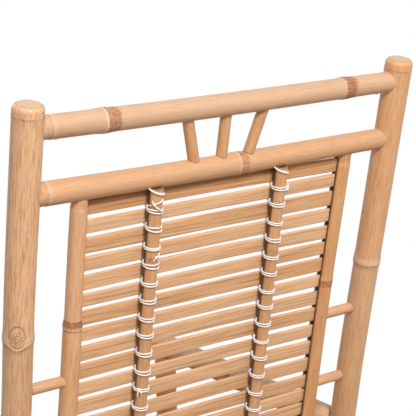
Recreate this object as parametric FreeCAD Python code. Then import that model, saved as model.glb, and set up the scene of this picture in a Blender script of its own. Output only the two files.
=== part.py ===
# A bamboo rocking chair, built from hollow culms, split slats, lashed battens and dowelled joints.
# Frame: +Z up, the chair faces -Y, +X is the sitter's left. The origin is on the floor, midway
# between the rockers, at the point where they touch it when the empty chair stands at rest.
import FreeCAD, Part
import math
import os

from FreeCAD import Vector

# Layout of the frame, in millimetres and degrees
POST_SPACING = 600.0
BACK_LEAN = 12.5
ARM_HEIGHT = 590.0
ARM_REACH = 504.0
ARM_OVERHANG = 80.0
BACK_JOINT_Y = 151.7
SEAT_FRONT_HEIGHT = 397.0
SEAT_TILT = 4.5
SIDE_STRETCHER_HEIGHT = 222.0
FRONT_STRETCHER_HEIGHT = 172.0
REAR_STRETCHER_HEIGHT = 172.0

# Rockers: the radius they roll on, and their length from tip to tip
ROCKER_RADIUS = 1050.0
ROCKER_SPAN = 870.0
ROCKER_NODE_STEP = 250.0

# Back panel: the crest rail's height over the floor, and distances up or down the posts from it
CREST_HEIGHT = 1156.25
POST_RISE = 34.0
SHOULDER_DROP = 86.5
LOWER_RAIL_RISE = 58.5
STILE_SPACING = 442.0
BATTEN_LEFT_X = 107.0
BATTEN_RIGHT_X = -98.0
FAN_TOP = 65.5
FAN_FOOT = 41.5
FAN_SHIFT = 3.5
SEAT_BATTEN_SPACING = 230.0

# Culm sections: outer radius and wall
BACK_POST_RADIUS = 20.0
FRONT_POST_RADIUS = 20.0
POST_WALL = 5.5
ARM_RADIUS = 20.5
ARM_WALL = 5.5
ROCKER_TUBE_RADIUS = 21.0
ROCKER_WALL = 6.0
CREST_RADIUS = 15.5
SHOULDER_RADIUS = 16.0
BACK_RAIL_WALL = 5.0
SEAT_RAIL_RADIUS = 15.0
SEAT_RAIL_WALL = 5.0
STRETCHER_RADIUS = 13.5
STRETCHER_WALL = 4.5
STILE_RADIUS = 11.5
STILE_WALL = 4.0

# Solid sticks
SPINDLE_RADIUS = 8.0
STUB_RADIUS = 8.0
BACK_BATTEN_RADIUS = 9.0
SEAT_BATTEN_RADIUS = 9.0
BATTEN_COPE = 5.0

# Slats and the cord that lashes them
SLAT_WIDTH = 19.5
SLAT_GAP = 7.6
BACK_SLAT_THICKNESS = 5.0
SEAT_SLAT_THICKNESS = 7.0
SLAT_ROUND = 0.8
SLAT_MARGIN = 3.3
SLOT_CLEARANCE = 0.4
CORD_RADIUS = 1.2
CORD_CLEARANCE = 0.1
CORD_BEND = 1.6

# Features of every culm: a raised ring at each node, a septum across the hollow there, rounded closed ends
NODE_RISE = 1.4
NODE_HALF = 7.0
SEPTUM_THICKNESS = 5.0
PIERCE_RADIUS = 4.0
END_ROUND = 7.0
END_WALL = 12.0

# Joinery: culms are coped over their hosts and held by shouldered dowels and pins
COPE_SETBACK = 6.0
DOWEL_BODY = 38.0
NOSE_DEPTH = 10.0
STICK_NOSE_DEPTH = 6.0
GLUE_GAP = 0.1
TOUCH_CLEARANCE = 0.3
PIN_RADIUS = 2.0
PIN_SHARE = 0.47
RAIL_DOWEL_SHARE = 0.7
POST_NOSE = 8.0
RAIL_NOSE = 7.0
STRETCHER_NOSE = 6.0
STILE_NOSE = 4.5
STICK_NOSE = 5.0

# Where the nodes are: down the posts and stiles from the crest rail's or arm's axis
BACK_POST_NODE_DROP = 286.0
BACK_POST_NODE_STEP = 345.0
FRONT_POST_NODE_DROP = 150.0
LEFT_STILE_NODE_DROP = 283.0
RIGHT_STILE_NODE_DROP = 303.0
ARM_END_RING = 46.0

# Places as shares of a length: nodes along the rails and arms, and stubs from the crest rail down to the arm
CREST_NODE_SHARES = (0.1725, 0.8285)
SHOULDER_NODE_SHARES = (0.535,)
CROSS_NODE_SHARES = (0.217, 0.575)
SIDE_RAIL_NODE_SHARE = 0.45
ARM_NODE_SHARE = 0.532
UPPER_STUB_SHARE = 0.6293
LOWER_STUB_SHARE = 0.8362

UP = Vector(0, 0, 1)
DOWN = Vector(0, 0, -1)
FRONT = Vector(0, -1, 0)
REAR = Vector(0, 1, 0)
ACROSS = Vector(1, 0, 0)
ORIGIN = Vector(0, 0, 0)
SIDES = {"left": 1.0, "right": -1.0}
HALF = POST_SPACING / 2.0

# The back frame lies in the posts' plane: local z runs up the posts and local y to the rear
LEAN = math.radians(BACK_LEAN)
BACK = FreeCAD.Placement(Vector(0, BACK_JOINT_Y, ARM_HEIGHT), FreeCAD.Rotation(ACROSS, -BACK_LEAN))
CREST_Z = (CREST_HEIGHT - ARM_HEIGHT) / math.cos(LEAN)
SHOULDER_Z = CREST_Z - SHOULDER_DROP
BACK_BATTEN_Y = BACK_SLAT_THICKNESS / 2.0 + TOUCH_CLEARANCE + BACK_BATTEN_RADIUS

# The seat frame lies in the slats' middle plane: local y runs back from the front posts
TILT = math.radians(SEAT_TILT)
FRONT_POST_Y = BACK_JOINT_Y - ARM_REACH
SEAT = FreeCAD.Placement(Vector(0, FRONT_POST_Y, SEAT_FRONT_HEIGHT), FreeCAD.Rotation(ACROSS, -SEAT_TILT))
SEAT_BATTEN_DROP = SEAT_SLAT_THICKNESS / 2.0 + TOUCH_CLEARANCE + SEAT_BATTEN_RADIUS

ROCKER_AXIS_RADIUS = ROCKER_RADIUS - ROCKER_TUBE_RADIUS


def back_point(x, y, z):
    """A point of the back frame, in the chair's frame."""
    return BACK.multVec(Vector(x, y, z))


def seat_point(x, y, z):
    """A point of the seat frame, in the chair's frame."""
    return SEAT.multVec(Vector(x, y, z))


def back_post_y(z):
    """Where the back posts' axes cross a height."""
    return BACK_JOINT_Y + (z - ARM_HEIGHT) * math.tan(LEAN)


def front_post_in_seat(drop):
    """The seat frame's y of the front posts' axes, drop below the slats' middle."""
    return drop * math.tan(TILT)


def back_post_in_seat(drop):
    """The seat frame's y of the back posts' axes, drop below the slats' middle."""
    low = SEAT.inverse().multVec(back_point(0, 0, 0))
    high = SEAT.inverse().multVec(back_point(0, 0, CREST_Z))
    share = (-drop - low.z) / (high.z - low.z)
    return low.y + share * (high.y - low.y)


def rocker_axis_z(y):
    """Height of a rocker's axis over the floor."""
    return ROCKER_RADIUS - math.sqrt(ROCKER_AXIS_RADIUS**2 - y**2)


# The slatted field of the back ends at a lower rail, a little above the rear seat rail
REAR_SEAT_RAIL = seat_point(0, back_post_in_seat(SEAT_BATTEN_DROP), -SEAT_BATTEN_DROP)
LOWER_RAIL_Z = BACK.inverse().multVec(REAR_SEAT_RAIL).z + LOWER_RAIL_RISE
BACK_FIELD_TOP = SHOULDER_Z - SHOULDER_RADIUS - SLAT_MARGIN
BACK_FIELD_LENGTH = BACK_FIELD_TOP - LOWER_RAIL_Z - SHOULDER_RADIUS - SLAT_MARGIN

# The rails that hold the stiles have dowels that stop short of the stiles' noses
STILE_ROOM = HALF - BACK_POST_RADIUS - STILE_SPACING / 2.0 - STILE_NOSE
RAIL_DOWEL = RAIL_DOWEL_SHARE * STILE_ROOM


def back_post_foot(x):
    """The point where a back post's axis meets its rocker's axis: a line crossing a circle."""
    slope = math.tan(LEAN)
    offset = back_post_y(ROCKER_RADIUS)
    steep = 1.0 + slope**2
    root = math.sqrt(offset**2 * slope**2 - steep * (offset**2 - ROCKER_AXIS_RADIUS**2))
    below_centre = (-offset * slope - root) / steep
    return Vector(x, offset + below_centre * slope, ROCKER_RADIUS + below_centre)


def cylinder(start, end, radius):
    """A solid round bar from one point to another."""
    axis = end - start
    return Part.makeCylinder(radius, axis.Length, start, axis)


def moved(shape, placement):
    """A copy of a shape, taken from a local frame to the chair's frame."""
    copy = shape.copy()
    copy.Placement = placement.multiply(copy.Placement)
    return copy


def shifted(x, y, z, rotation=FreeCAD.Rotation()):
    """A placement at a point of a local frame."""
    return FreeCAD.Placement(Vector(x, y, z), rotation)


class Outline:
    """Half of a turned section, drawn as (radius, height) points and revolved about its axis."""

    def __init__(self, radius, height):
        self.first = Vector(radius, 0, height)
        self.at = self.first
        self.edges = []

    def line(self, radius, height):
        point = Vector(radius, 0, height)
        self.edges.append(Part.makeLine(self.at, point))
        self.at = point

    def arc(self, middle, radius, height):
        point = Vector(radius, 0, height)
        self.edges.append(Part.Arc(self.at, Vector(middle[0], 0, middle[1]), point).toShape())
        self.at = point

    def turned(self):
        self.edges.append(Part.makeLine(self.at, self.first))
        return Part.Face(Part.Wire(self.edges)).revolve(ORIGIN, UP, 360)


class Culm:
    """A straight hollow bamboo culm on an axis, with a raised ring and a pierced septum at each node."""

    def __init__(self, start, end, radius, wall, nodes=(), closed=False):
        self.start = start
        self.end = end
        self.length = (end - start).Length
        self.direction = (end - start).normalize()
        self.radius = radius
        self.bore = radius - wall
        self.nodes = nodes
        self.closed = closed

    def outside(self, outline, grow):
        """Draws the outer side from the start to the end, over the nodes' rings."""
        radius = self.radius + grow
        outline.line(radius, 0.0)
        for node in self.nodes:
            outline.line(radius, node - NODE_HALF)
            outline.arc((radius + NODE_RISE, node), radius, node + NODE_HALF)
        if self.closed:
            turn = END_ROUND * (1.0 - math.sqrt(0.5))
            outline.line(radius, self.length - END_ROUND)
            outline.arc((radius - turn, self.length - turn), radius - END_ROUND, self.length)
        else:
            outline.line(radius, self.length)

    def inside(self, outline):
        """Draws the hollow from the end back to the start, with the pierced septum of each node."""
        if self.closed:
            outline.line(0.0, self.length)
            outline.line(0.0, self.length - END_WALL)
            outline.line(self.bore, self.length - END_WALL)
        else:
            outline.line(self.bore, self.length)
        for node in reversed(self.nodes):
            outline.line(self.bore, node + SEPTUM_THICKNESS / 2.0)
            outline.line(PIERCE_RADIUS, node + SEPTUM_THICKNESS / 2.0)
            outline.line(PIERCE_RADIUS, node - SEPTUM_THICKNESS / 2.0)
            outline.line(self.bore, node - SEPTUM_THICKNESS / 2.0)

    def in_place(self, shape):
        return moved(shape, FreeCAD.Placement(self.start, FreeCAD.Rotation(UP, self.direction)))

    def solid(self):
        """The hollow culm, open at its start."""
        outline = Outline(self.bore, 0.0)
        self.outside(outline, 0.0)
        self.inside(outline)
        return self.in_place(outline.turned())

    def bulk(self, grow=0.0):
        """The culm's outside as a full bar, for coping what meets it."""
        outline = Outline(0.0, 0.0)
        self.outside(outline, grow)
        outline.line(0.0, self.length)
        return self.in_place(outline.turned())

    def distance_to(self, point):
        """How far a point lies from this culm's axis."""
        return point.distanceToLineSegment(self.start, self.end).Length

    def end_on(self, host):
        """The end that lies on the host, and the direction from there into this culm."""
        if host.distance_to(self.start) < host.distance_to(self.end):
            return self.start, self.direction
        return self.end, self.direction * -1.0


class Rocker:
    """A bent culm on an arc in a side plane, closed at both ends, its nodes planed to roll smoothly."""

    def __init__(self, x):
        self.x = x
        self.radius = ROCKER_TUBE_RADIUS
        self.half_angle = math.degrees(math.asin(ROCKER_SPAN / 2.0 / ROCKER_AXIS_RADIUS))

    def bent_bar(self, radius, first, last):
        """A bar along the arc, between two angles off the lowest point."""
        bar = Part.makeTorus(ROCKER_AXIS_RADIUS, radius, ORIGIN, UP, 0, 360, last - first)
        bar.rotate(ORIGIN, UP, first)
        return moved(bar, shifted(self.x, 0, ROCKER_RADIUS, FreeCAD.Rotation(REAR, 90)))

    def node_angles(self):
        """The nodes, evenly spaced about the lowest point."""
        step = math.degrees(ROCKER_NODE_STEP / ROCKER_AXIS_RADIUS)
        count = int((self.half_angle - step / 2.0) / step)
        return [step * k for k in range(-count, count + 1)]

    def bulk(self):
        return self.bent_bar(self.radius, -self.half_angle, self.half_angle)

    def solid(self):
        """The hollow rocker, with rounded ends and pierced septa."""
        shape = self.bulk()
        rims = [edge for edge in shape.Edges if edge.isClosed()]
        shape = shape.makeFillet(END_ROUND, rims)
        septum = math.degrees(SEPTUM_THICKNESS / 2.0 / ROCKER_AXIS_RADIUS)
        last = self.half_angle - math.degrees(END_WALL / ROCKER_AXIS_RADIUS)
        walls = [-last - septum] + self.node_angles() + [last + septum]
        for first, second in zip(walls, walls[1:]):
            shape = shape.cut(self.bent_bar(self.radius - ROCKER_WALL, first + septum, second - septum))
        return shape.cut(self.bent_bar(PIERCE_RADIUS, -last, last))

    def distance_to(self, point):
        """How far a point of the rocker's plane lies from its axis."""
        return abs(math.hypot(point.y, point.z - ROCKER_RADIUS) - ROCKER_AXIS_RADIUS)


class Chair:
    """Collects the pieces, and cuts each joint into the pieces that meet there."""

    def __init__(self):
        self.culms = {}
        self.solids = {}

    def add_culm(self, name, culm):
        self.culms[name] = culm
        self.solids[name] = culm.solid()

    def add_group(self, name, shapes):
        self.solids.setdefault(name, [])
        self.solids[name] += shapes

    def cut(self, name, tool):
        self.solids[name] = self.solids[name].cut(tool)

    def dowel_joint(self, name, host_name, nose, group, pin_side, reach=DOWEL_BODY):
        """Copes a culm's end over its host, and joins the two with a shouldered dowel and a pin."""
        culm = self.culms[name]
        host = self.culms[host_name]
        end, inward = culm.end_on(host)
        bulk = host.bulk()
        face = end + inward * host.radius
        back = face + inward * reach
        stop = end + inward * COPE_SETBACK
        self.cut(name, bulk)
        self.cut(name, cylinder(end - inward * COPE_SETBACK, stop, culm.radius + NODE_HALF))

        tip = face - inward * NOSE_DEPTH
        body = cylinder(stop, back, culm.bore - GLUE_GAP).cut(bulk)
        dowel = body.fuse(cylinder(tip, back, nose)).removeSplitter()
        self.cut(host_name, cylinder(tip - inward * GLUE_GAP, face + inward * NODE_HALF, nose + GLUE_GAP))

        side = (pin_side - inward * pin_side.dot(inward)).normalize()
        across = face + inward * (reach * PIN_SHARE)
        inner = across - side * (culm.bore / 2.0)
        outer = across + side * culm.radius
        hole = cylinder(inner, outer + side * NODE_HALF, PIN_RADIUS)
        self.cut(name, hole)
        self.add_group(group, [dowel.cut(hole)])
        self.add_group("dowel_pins", [cylinder(inner, outer, PIN_RADIUS)])

    def add_stick(self, name, start, end, radius, host_names):
        """A solid stick between two hosts' axes, coped to both, with a round tenon turned on each end."""
        stick = cylinder(start, end, radius)
        axis = (end - start).normalize()
        for host_name, point, inward in zip(host_names, (start, end), (axis, axis * -1.0)):
            host = self.culms[host_name]
            tip = point + inward * (host.radius - STICK_NOSE_DEPTH)
            shoulder = point + inward * (host.radius + radius)
            stick = stick.cut(host.bulk()).fuse(cylinder(tip, shoulder, STICK_NOSE))
            self.cut(host_name, cylinder(tip - inward * GLUE_GAP, shoulder, STICK_NOSE + GLUE_GAP))
        self.solids[name] = stick.removeSplitter()


def slat(length, thickness):
    """One split slat with its long edges eased, lying along X, its width upright."""
    corner = Vector(-length / 2.0, -thickness / 2.0, -SLAT_WIDTH / 2.0)
    board = Part.makeBox(length, thickness, SLAT_WIDTH, corner)
    long_edges = [edge for edge in board.Edges if edge.BoundBox.XLength > length / 2.0]
    return board.makeFillet(SLAT_ROUND, long_edges)


def slat_steps(room):
    """How far each slat's middle lies from the start of a room that the slats fill evenly."""
    count = round((room + SLAT_GAP) / (SLAT_WIDTH + SLAT_GAP))
    pitch = (room - SLAT_WIDTH) / (count - 1)
    return [SLAT_WIDTH / 2.0 + pitch * k for k in range(count)]


def cord_bend(x, start, corner, end):
    """A quarter turn of cord in the plane at x, from one (y, z) to another about a sharp corner."""
    centre_y = start[0] + end[0] - corner[0]
    centre_z = start[1] + end[1] - corner[1]
    reach = math.sqrt(0.5)
    middle = (centre_y + (corner[0] - centre_y) * reach, centre_z + (corner[1] - centre_z) * reach)
    return Part.Arc(*[Vector(x, y, z) for y, z in (start, middle, end)]).toShape()


def lashing(batten_radius, thickness):
    """One closed turn of cord that ties a batten, standing along Z behind, to one slat at the origin."""
    side = batten_radius + CORD_RADIUS + CORD_CLEARANCE
    rear = thickness / 2.0 + TOUCH_CLEARANCE + batten_radius
    front = -(thickness / 2.0 + CORD_RADIUS + CORD_CLEARANCE)
    edge = SLAT_WIDTH / 2.0 + CORD_RADIUS + CORD_CLEARANCE

    def over_batten(x, z):
        return Part.Arc(Vector(-x, rear, z), Vector(0, rear + side, z), Vector(x, rear, z)).toShape()

    def past_slat(x, z, inward):
        into = (front + CORD_BEND, z)
        along = (front, z + inward)
        leave = (front, -z - inward)
        out = (front + CORD_BEND, -z)
        return [
            Part.makeLine(Vector(x, rear, z), Vector(x, *into)),
            cord_bend(x, into, (front, z), along),
            Part.makeLine(Vector(x, *along), Vector(x, *leave)),
            cord_bend(x, leave, (front, -z), out),
            Part.makeLine(Vector(x, *out), Vector(x, rear, -z)),
        ]

    path = [over_batten(side, edge)] + past_slat(side, edge, -CORD_BEND)
    path += [over_batten(-side, -edge)] + past_slat(-side, -edge, CORD_BEND)
    section = Part.Wire(Part.makeCircle(CORD_RADIUS, Vector(-side, rear, edge), REAR))
    return Part.Wire(path).makePipeShell([section], True, False)


def add_uprights(chair):
    """Rockers, posts and arms, which carry everything else."""
    for side, sign in SIDES.items():
        x = sign * HALF
        rocker = Rocker(x)
        chair.add_culm(side + "_rocker", rocker)

        foot = back_post_foot(x)
        head = back_point(x, 0, CREST_Z + POST_RISE)
        first = (head - foot).Length - POST_RISE - BACK_POST_NODE_DROP
        count = int((first - rocker.radius - DOWEL_BODY - NODE_HALF) / BACK_POST_NODE_STEP)
        nodes = [first - BACK_POST_NODE_STEP * k for k in range(count, -1, -1)]
        post = Culm(foot, head, BACK_POST_RADIUS, POST_WALL, nodes, closed=True)
        chair.add_culm(side + "_back_post", post)

        foot = Vector(x, FRONT_POST_Y, rocker_axis_z(FRONT_POST_Y))
        head = Vector(x, FRONT_POST_Y, ARM_HEIGHT)
        nodes = [ARM_HEIGHT - FRONT_POST_NODE_DROP - foot.z]
        chair.add_culm(side + "_front_post", Culm(foot, head, FRONT_POST_RADIUS, POST_WALL, nodes))

        rear = Vector(x, BACK_JOINT_Y, ARM_HEIGHT)
        front = Vector(x, FRONT_POST_Y - ARM_OVERHANG, ARM_HEIGHT)
        nodes = [ARM_NODE_SHARE * ARM_REACH, ARM_REACH + ARM_OVERHANG - ARM_END_RING]
        chair.add_culm(side + "_arm", Culm(rear, front, ARM_RADIUS, ARM_WALL, nodes, closed=True))


def add_cross_rails(chair):
    """The rails and stretchers that hold the two sides apart."""
    back_rails = {
        "crest_rail": (CREST_Z, CREST_RADIUS, CREST_NODE_SHARES),
        "shoulder_rail": (SHOULDER_Z, SHOULDER_RADIUS, SHOULDER_NODE_SHARES),
        "lower_back_rail": (LOWER_RAIL_Z, SHOULDER_RADIUS, CROSS_NODE_SHARES),
    }
    seat_rails = {
        "front_seat_rail": seat_point(0, front_post_in_seat(SEAT_BATTEN_DROP), -SEAT_BATTEN_DROP),
        "rear_seat_rail": REAR_SEAT_RAIL,
    }
    stretchers = {
        "front_stretcher": Vector(0, FRONT_POST_Y, FRONT_STRETCHER_HEIGHT),
        "rear_stretcher": Vector(0, back_post_y(REAR_STRETCHER_HEIGHT), REAR_STRETCHER_HEIGHT),
    }

    def add(name, middle, radius, wall, node_shares):
        nodes = [share * POST_SPACING for share in node_shares]
        chair.add_culm(name, Culm(middle + ACROSS * HALF, middle - ACROSS * HALF, radius, wall, nodes))

    for name, (z, radius, node_shares) in back_rails.items():
        add(name, back_point(0, 0, z), radius, BACK_RAIL_WALL, node_shares)
    for name, middle in seat_rails.items():
        add(name, middle, SEAT_RAIL_RADIUS, SEAT_RAIL_WALL, CROSS_NODE_SHARES)
    for name, middle in stretchers.items():
        add(name, middle, STRETCHER_RADIUS, STRETCHER_WALL, CROSS_NODE_SHARES)


def add_side_rails(chair):
    """The seat rails and side stretchers, which run from the front posts to the back posts."""
    seat_depth = back_post_in_seat(0.0)
    stretcher_rear = back_post_y(SIDE_STRETCHER_HEIGHT)
    stretcher_depth = stretcher_rear - FRONT_POST_Y
    for side, sign in SIDES.items():
        x = sign * HALF
        front = seat_point(x, 0, 0)
        rear = seat_point(x, seat_depth, 0)
        nodes = [SIDE_RAIL_NODE_SHARE * seat_depth]
        rail = Culm(front, rear, SEAT_RAIL_RADIUS, SEAT_RAIL_WALL, nodes)
        chair.add_culm(side + "_seat_rail", rail)
        front = Vector(x, FRONT_POST_Y, SIDE_STRETCHER_HEIGHT)
        rear = Vector(x, stretcher_rear, SIDE_STRETCHER_HEIGHT)
        nodes = [SIDE_RAIL_NODE_SHARE * stretcher_depth]
        stretcher = Culm(front, rear, STRETCHER_RADIUS, STRETCHER_WALL, nodes)
        chair.add_culm(side + "_side_stretcher", stretcher)


def add_stiles(chair):
    """The two uprights of the back panel."""
    for side, drop in (("left", LEFT_STILE_NODE_DROP), ("right", RIGHT_STILE_NODE_DROP)):
        x = SIDES[side] * STILE_SPACING / 2.0
        top = back_point(x, 0, SHOULDER_Z)
        foot = back_point(x, 0, LOWER_RAIL_Z)
        stile = Culm(top, foot, STILE_RADIUS, STILE_WALL, [drop - SHOULDER_DROP])
        chair.add_culm(side + "_back_stile", stile)


def add_joints(chair):
    """Every dowelled joint: which culm, what it is let into, its dowel's nose and the side of its pin."""
    for side in SIDES:
        back = side + "_back_post"
        front = side + "_front_post"
        rocker = side + "_rocker"
        arm = side + "_arm"
        chair.dowel_joint(back, rocker, POST_NOSE, "rocker_dowels", FRONT)
        chair.dowel_joint(front, rocker, POST_NOSE, "rocker_dowels", FRONT)
        chair.dowel_joint(front, arm, POST_NOSE, "front_post_dowels", FRONT)
        chair.dowel_joint(arm, back, POST_NOSE, "arm_dowels", DOWN)
        for host in (front, back):
            chair.dowel_joint(side + "_seat_rail", host, RAIL_NOSE, side + "_seat_rail_dowels", DOWN)
            chair.dowel_joint(side + "_side_stretcher", host, STRETCHER_NOSE, "side_stretcher_dowels", DOWN)
        for rail in ("crest_rail", "rear_seat_rail"):
            chair.dowel_joint(rail, back, RAIL_NOSE, rail + "_dowels", DOWN)
        for rail in ("shoulder_rail", "lower_back_rail"):
            chair.dowel_joint(rail, back, RAIL_NOSE, rail + "_dowels", DOWN, RAIL_DOWEL)
        chair.dowel_joint("front_seat_rail", front, RAIL_NOSE, "front_seat_rail_dowels", DOWN)
        chair.dowel_joint("front_stretcher", front, STRETCHER_NOSE, "front_stretcher_dowels", DOWN)
        chair.dowel_joint("rear_stretcher", back, STRETCHER_NOSE, "rear_stretcher_dowels", DOWN)
        for rail in ("shoulder_rail", "lower_back_rail"):
            chair.dowel_joint(side + "_back_stile", rail, STILE_NOSE, "back_stile_dowels", FRONT)


def add_fan(chair):
    """Three spindles that spread from the shoulder rail up to the crest rail."""
    for name, across in (("left", 1.0), ("centre", 0.0), ("right", -1.0)):
        top = back_point(across * FAN_TOP + FAN_SHIFT, 0, CREST_Z)
        foot = back_point(across * FAN_FOOT + FAN_SHIFT, 0, SHOULDER_Z)
        chair.add_stick("crest_spindle_" + name, top, foot, SPINDLE_RADIUS, ("crest_rail", "shoulder_rail"))


def add_stubs(chair):
    """Short sticks that brace the panel's stiles against the back posts."""
    for side, sign in SIDES.items():
        hosts = (side + "_back_post", side + "_back_stile")
        for level, share in (("upper", UPPER_STUB_SHARE), ("lower", LOWER_STUB_SHARE)):
            height = CREST_Z * (1.0 - share)
            outer = back_point(sign * HALF, 0, height)
            inner = back_point(sign * STILE_SPACING / 2.0, 0, height)
            chair.add_stick(f"{side}_{level}_stub", outer, inner, STUB_RADIUS, hosts)


def add_back_panel(chair):
    """Slats let into slots in the stiles, and two battens lashed to them from behind."""
    bore = STILE_RADIUS - STILE_WALL
    board = slat(STILE_SPACING - 2.0 * bore, BACK_SLAT_THICKNESS)
    levels = [BACK_FIELD_TOP - step for step in slat_steps(BACK_FIELD_LENGTH)]
    chair.add_group("back_slats", [moved(board, BACK.multiply(shifted(0, 0, z))) for z in levels])

    slot_width = BACK_SLAT_THICKNESS + SLOT_CLEARANCE
    slot_height = BACK_FIELD_LENGTH + SLAT_MARGIN
    slot_foot = BACK_FIELD_TOP + SLAT_MARGIN / 2.0 - slot_height
    slot_depth = STILE_RADIUS + NODE_HALF
    for side, sign in SIDES.items():
        middle = sign * (STILE_SPACING - slot_depth) / 2.0
        corner = Vector(middle - slot_depth / 2.0, -slot_width / 2.0, slot_foot)
        slot = Part.makeBox(slot_depth, slot_width, slot_height, corner)
        chair.cut(side + "_back_stile", moved(slot, BACK))

    turn = lashing(BACK_BATTEN_RADIUS, BACK_SLAT_THICKNESS)
    for side, x in (("left", BATTEN_LEFT_X), ("right", BATTEN_RIGHT_X)):
        top = back_point(x, BACK_BATTEN_Y, SHOULDER_Z - SHOULDER_RADIUS + BATTEN_COPE)
        foot = back_point(x, BACK_BATTEN_Y, LOWER_RAIL_Z + SHOULDER_RADIUS - BATTEN_COPE)
        batten = cylinder(top, foot, BACK_BATTEN_RADIUS)
        for rail in ("shoulder_rail", "lower_back_rail"):
            batten = batten.cut(chair.culms[rail].bulk(TOUCH_CLEARANCE))
        chair.solids[side + "_back_batten"] = batten
        turns = [moved(turn, BACK.multiply(shifted(x, 0, z))) for z in levels]
        chair.add_group(side + "_back_lashing", turns)


def add_seat(chair):
    """Slats let into slots in the seat rails, and lashed to two battens under them."""
    slant = LEAN + TILT
    half_thickness = SEAT_SLAT_THICKNESS / 2.0
    post_reach = BACK_POST_RADIUS / math.cos(slant) + half_thickness * math.tan(slant)
    first = FRONT_POST_RADIUS + half_thickness * math.tan(TILT) + SLAT_MARGIN
    last = back_post_in_seat(0.0) - post_reach - SLAT_MARGIN
    flat = FreeCAD.Rotation(ACROSS, -90)
    board = slat(POST_SPACING - 2.0 * (SEAT_RAIL_RADIUS - SEAT_RAIL_WALL), SEAT_SLAT_THICKNESS)
    steps = [first + step for step in slat_steps(last - first)]
    chair.add_group("seat_slats", [moved(board, SEAT.multiply(shifted(0, y, 0, flat))) for y in steps])

    slot_height = SEAT_SLAT_THICKNESS + SLOT_CLEARANCE
    slot_length = last - first + SLAT_MARGIN
    slot_depth = SEAT_RAIL_RADIUS + NODE_HALF
    turn = lashing(SEAT_BATTEN_RADIUS, SEAT_SLAT_THICKNESS)
    for side, sign in SIDES.items():
        middle = sign * (POST_SPACING - slot_depth) / 2.0
        corner = Vector(middle - slot_depth / 2.0, first - SLAT_MARGIN / 2.0, -slot_height / 2.0)
        slot = Part.makeBox(slot_depth, slot_length, slot_height, corner)
        chair.cut(side + "_seat_rail", moved(slot, SEAT))

        x = sign * SEAT_BATTEN_SPACING / 2.0
        front = seat_point(x, front_post_in_seat(SEAT_BATTEN_DROP), -SEAT_BATTEN_DROP)
        rear = seat_point(x, back_post_in_seat(SEAT_BATTEN_DROP), -SEAT_BATTEN_DROP)
        hosts = ("front_seat_rail", "rear_seat_rail")
        chair.add_stick(side + "_seat_batten", front, rear, SEAT_BATTEN_RADIUS, hosts)
        turns = [moved(turn, SEAT.multiply(shifted(x, y, 0, flat))) for y in steps]
        chair.add_group(side + "_seat_lashing", turns)


def write_parts(chair):
    """One STEP file per node; a node of several alike pieces holds them as separate solids."""
    os.makedirs("parts", exist_ok=True)
    for name, shape in chair.solids.items():
        if isinstance(shape, list):
            shape = Part.makeCompound(shape)
        shape.exportStep("parts/" + name + ".step")


def main():
    """Builds the frame first, then its joints, then what the frame holds."""
    chair = Chair()
    add_uprights(chair)
    add_cross_rails(chair)
    add_side_rails(chair)
    add_stiles(chair)
    add_joints(chair)
    add_fan(chair)
    add_stubs(chair)
    add_back_panel(chair)
    add_seat(chair)
    write_parts(chair)


main()
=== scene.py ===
"""Dresses the bamboo rocking chair: skinned culms, split slats, wound cords and a plain studio."""
import logging
import math
import random
from dataclasses import dataclass, field
from enum import Enum
from functools import cache
from typing import ClassVar

import bpy
import numpy as np
from mathutils import Matrix, Vector


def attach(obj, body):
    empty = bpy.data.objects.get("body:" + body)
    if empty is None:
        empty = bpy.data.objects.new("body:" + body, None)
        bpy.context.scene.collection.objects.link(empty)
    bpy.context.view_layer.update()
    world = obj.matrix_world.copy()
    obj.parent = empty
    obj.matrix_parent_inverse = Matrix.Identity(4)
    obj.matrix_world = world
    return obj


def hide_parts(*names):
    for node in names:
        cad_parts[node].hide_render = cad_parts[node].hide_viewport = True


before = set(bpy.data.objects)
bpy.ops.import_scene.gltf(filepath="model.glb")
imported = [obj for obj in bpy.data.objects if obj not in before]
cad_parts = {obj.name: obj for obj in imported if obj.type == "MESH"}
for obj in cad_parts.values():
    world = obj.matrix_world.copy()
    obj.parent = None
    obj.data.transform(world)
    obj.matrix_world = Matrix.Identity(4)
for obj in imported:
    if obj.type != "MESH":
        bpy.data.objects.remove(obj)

LOG = logging.getLogger("rocking_chair")
Grid = np.ndarray
Values = np.ndarray | float
Pair = tuple[float, float]
Triple = tuple[float, float, float]
Colour = Triple
MM = 0.001
TURN = 2.0 * math.pi
WHITE = (1.0, 1.0, 1.0)
ACROSS, REAR, UP = Vector((1.0, 0.0, 0.0)), Vector((0.0, 1.0, 0.0)), Vector((0.0, 0.0, 1.0))


def smooth(low: float, high: float, value: Values) -> Values:
    """Rises softly from 0 at low to 1 at high."""
    share = np.clip((value - low) / (high - low), 0.0, 1.0)
    return share * share * (3.0 - 2.0 * share)


def about(place: float, soft: float, value: Values) -> Values:
    """Rises from 0 to 1 about a place, softened to both sides."""
    return smooth(place - soft, place + soft, value)


def hump(value: Values, width: float) -> Values:
    """A bell of height 1 about zero."""
    return np.exp(-((value / width) ** 2))


def from_zero(turn: Grid) -> Grid:
    """Angles counted both ways from angle zero."""
    return np.mod(turn + math.pi, TURN) - math.pi


def spokes(turn: Grid, first: Grid, second: Grid) -> Grid:
    """Directions at angles that turn from the first direction to the second."""
    return np.cos(turn)[..., None] * first + np.sin(turn)[..., None] * second


def run_lengths(points: Grid) -> Grid:
    """How far along a line each of its points lies."""
    return np.concatenate([[0.0], np.cumsum(np.linalg.norm(np.diff(points, axis=0), axis=1))])


def within(places: list[Grid | list[float]], low: float, high: float) -> Grid:
    """All places between two ends, each once and in order."""
    joined = np.unique(np.concatenate(places).round(5))
    return joined[(joined >= low) & (joined <= high)]


def slope(degrees: float) -> float:
    """Rise of a line at an angle."""
    return math.tan(math.radians(degrees))


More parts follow.
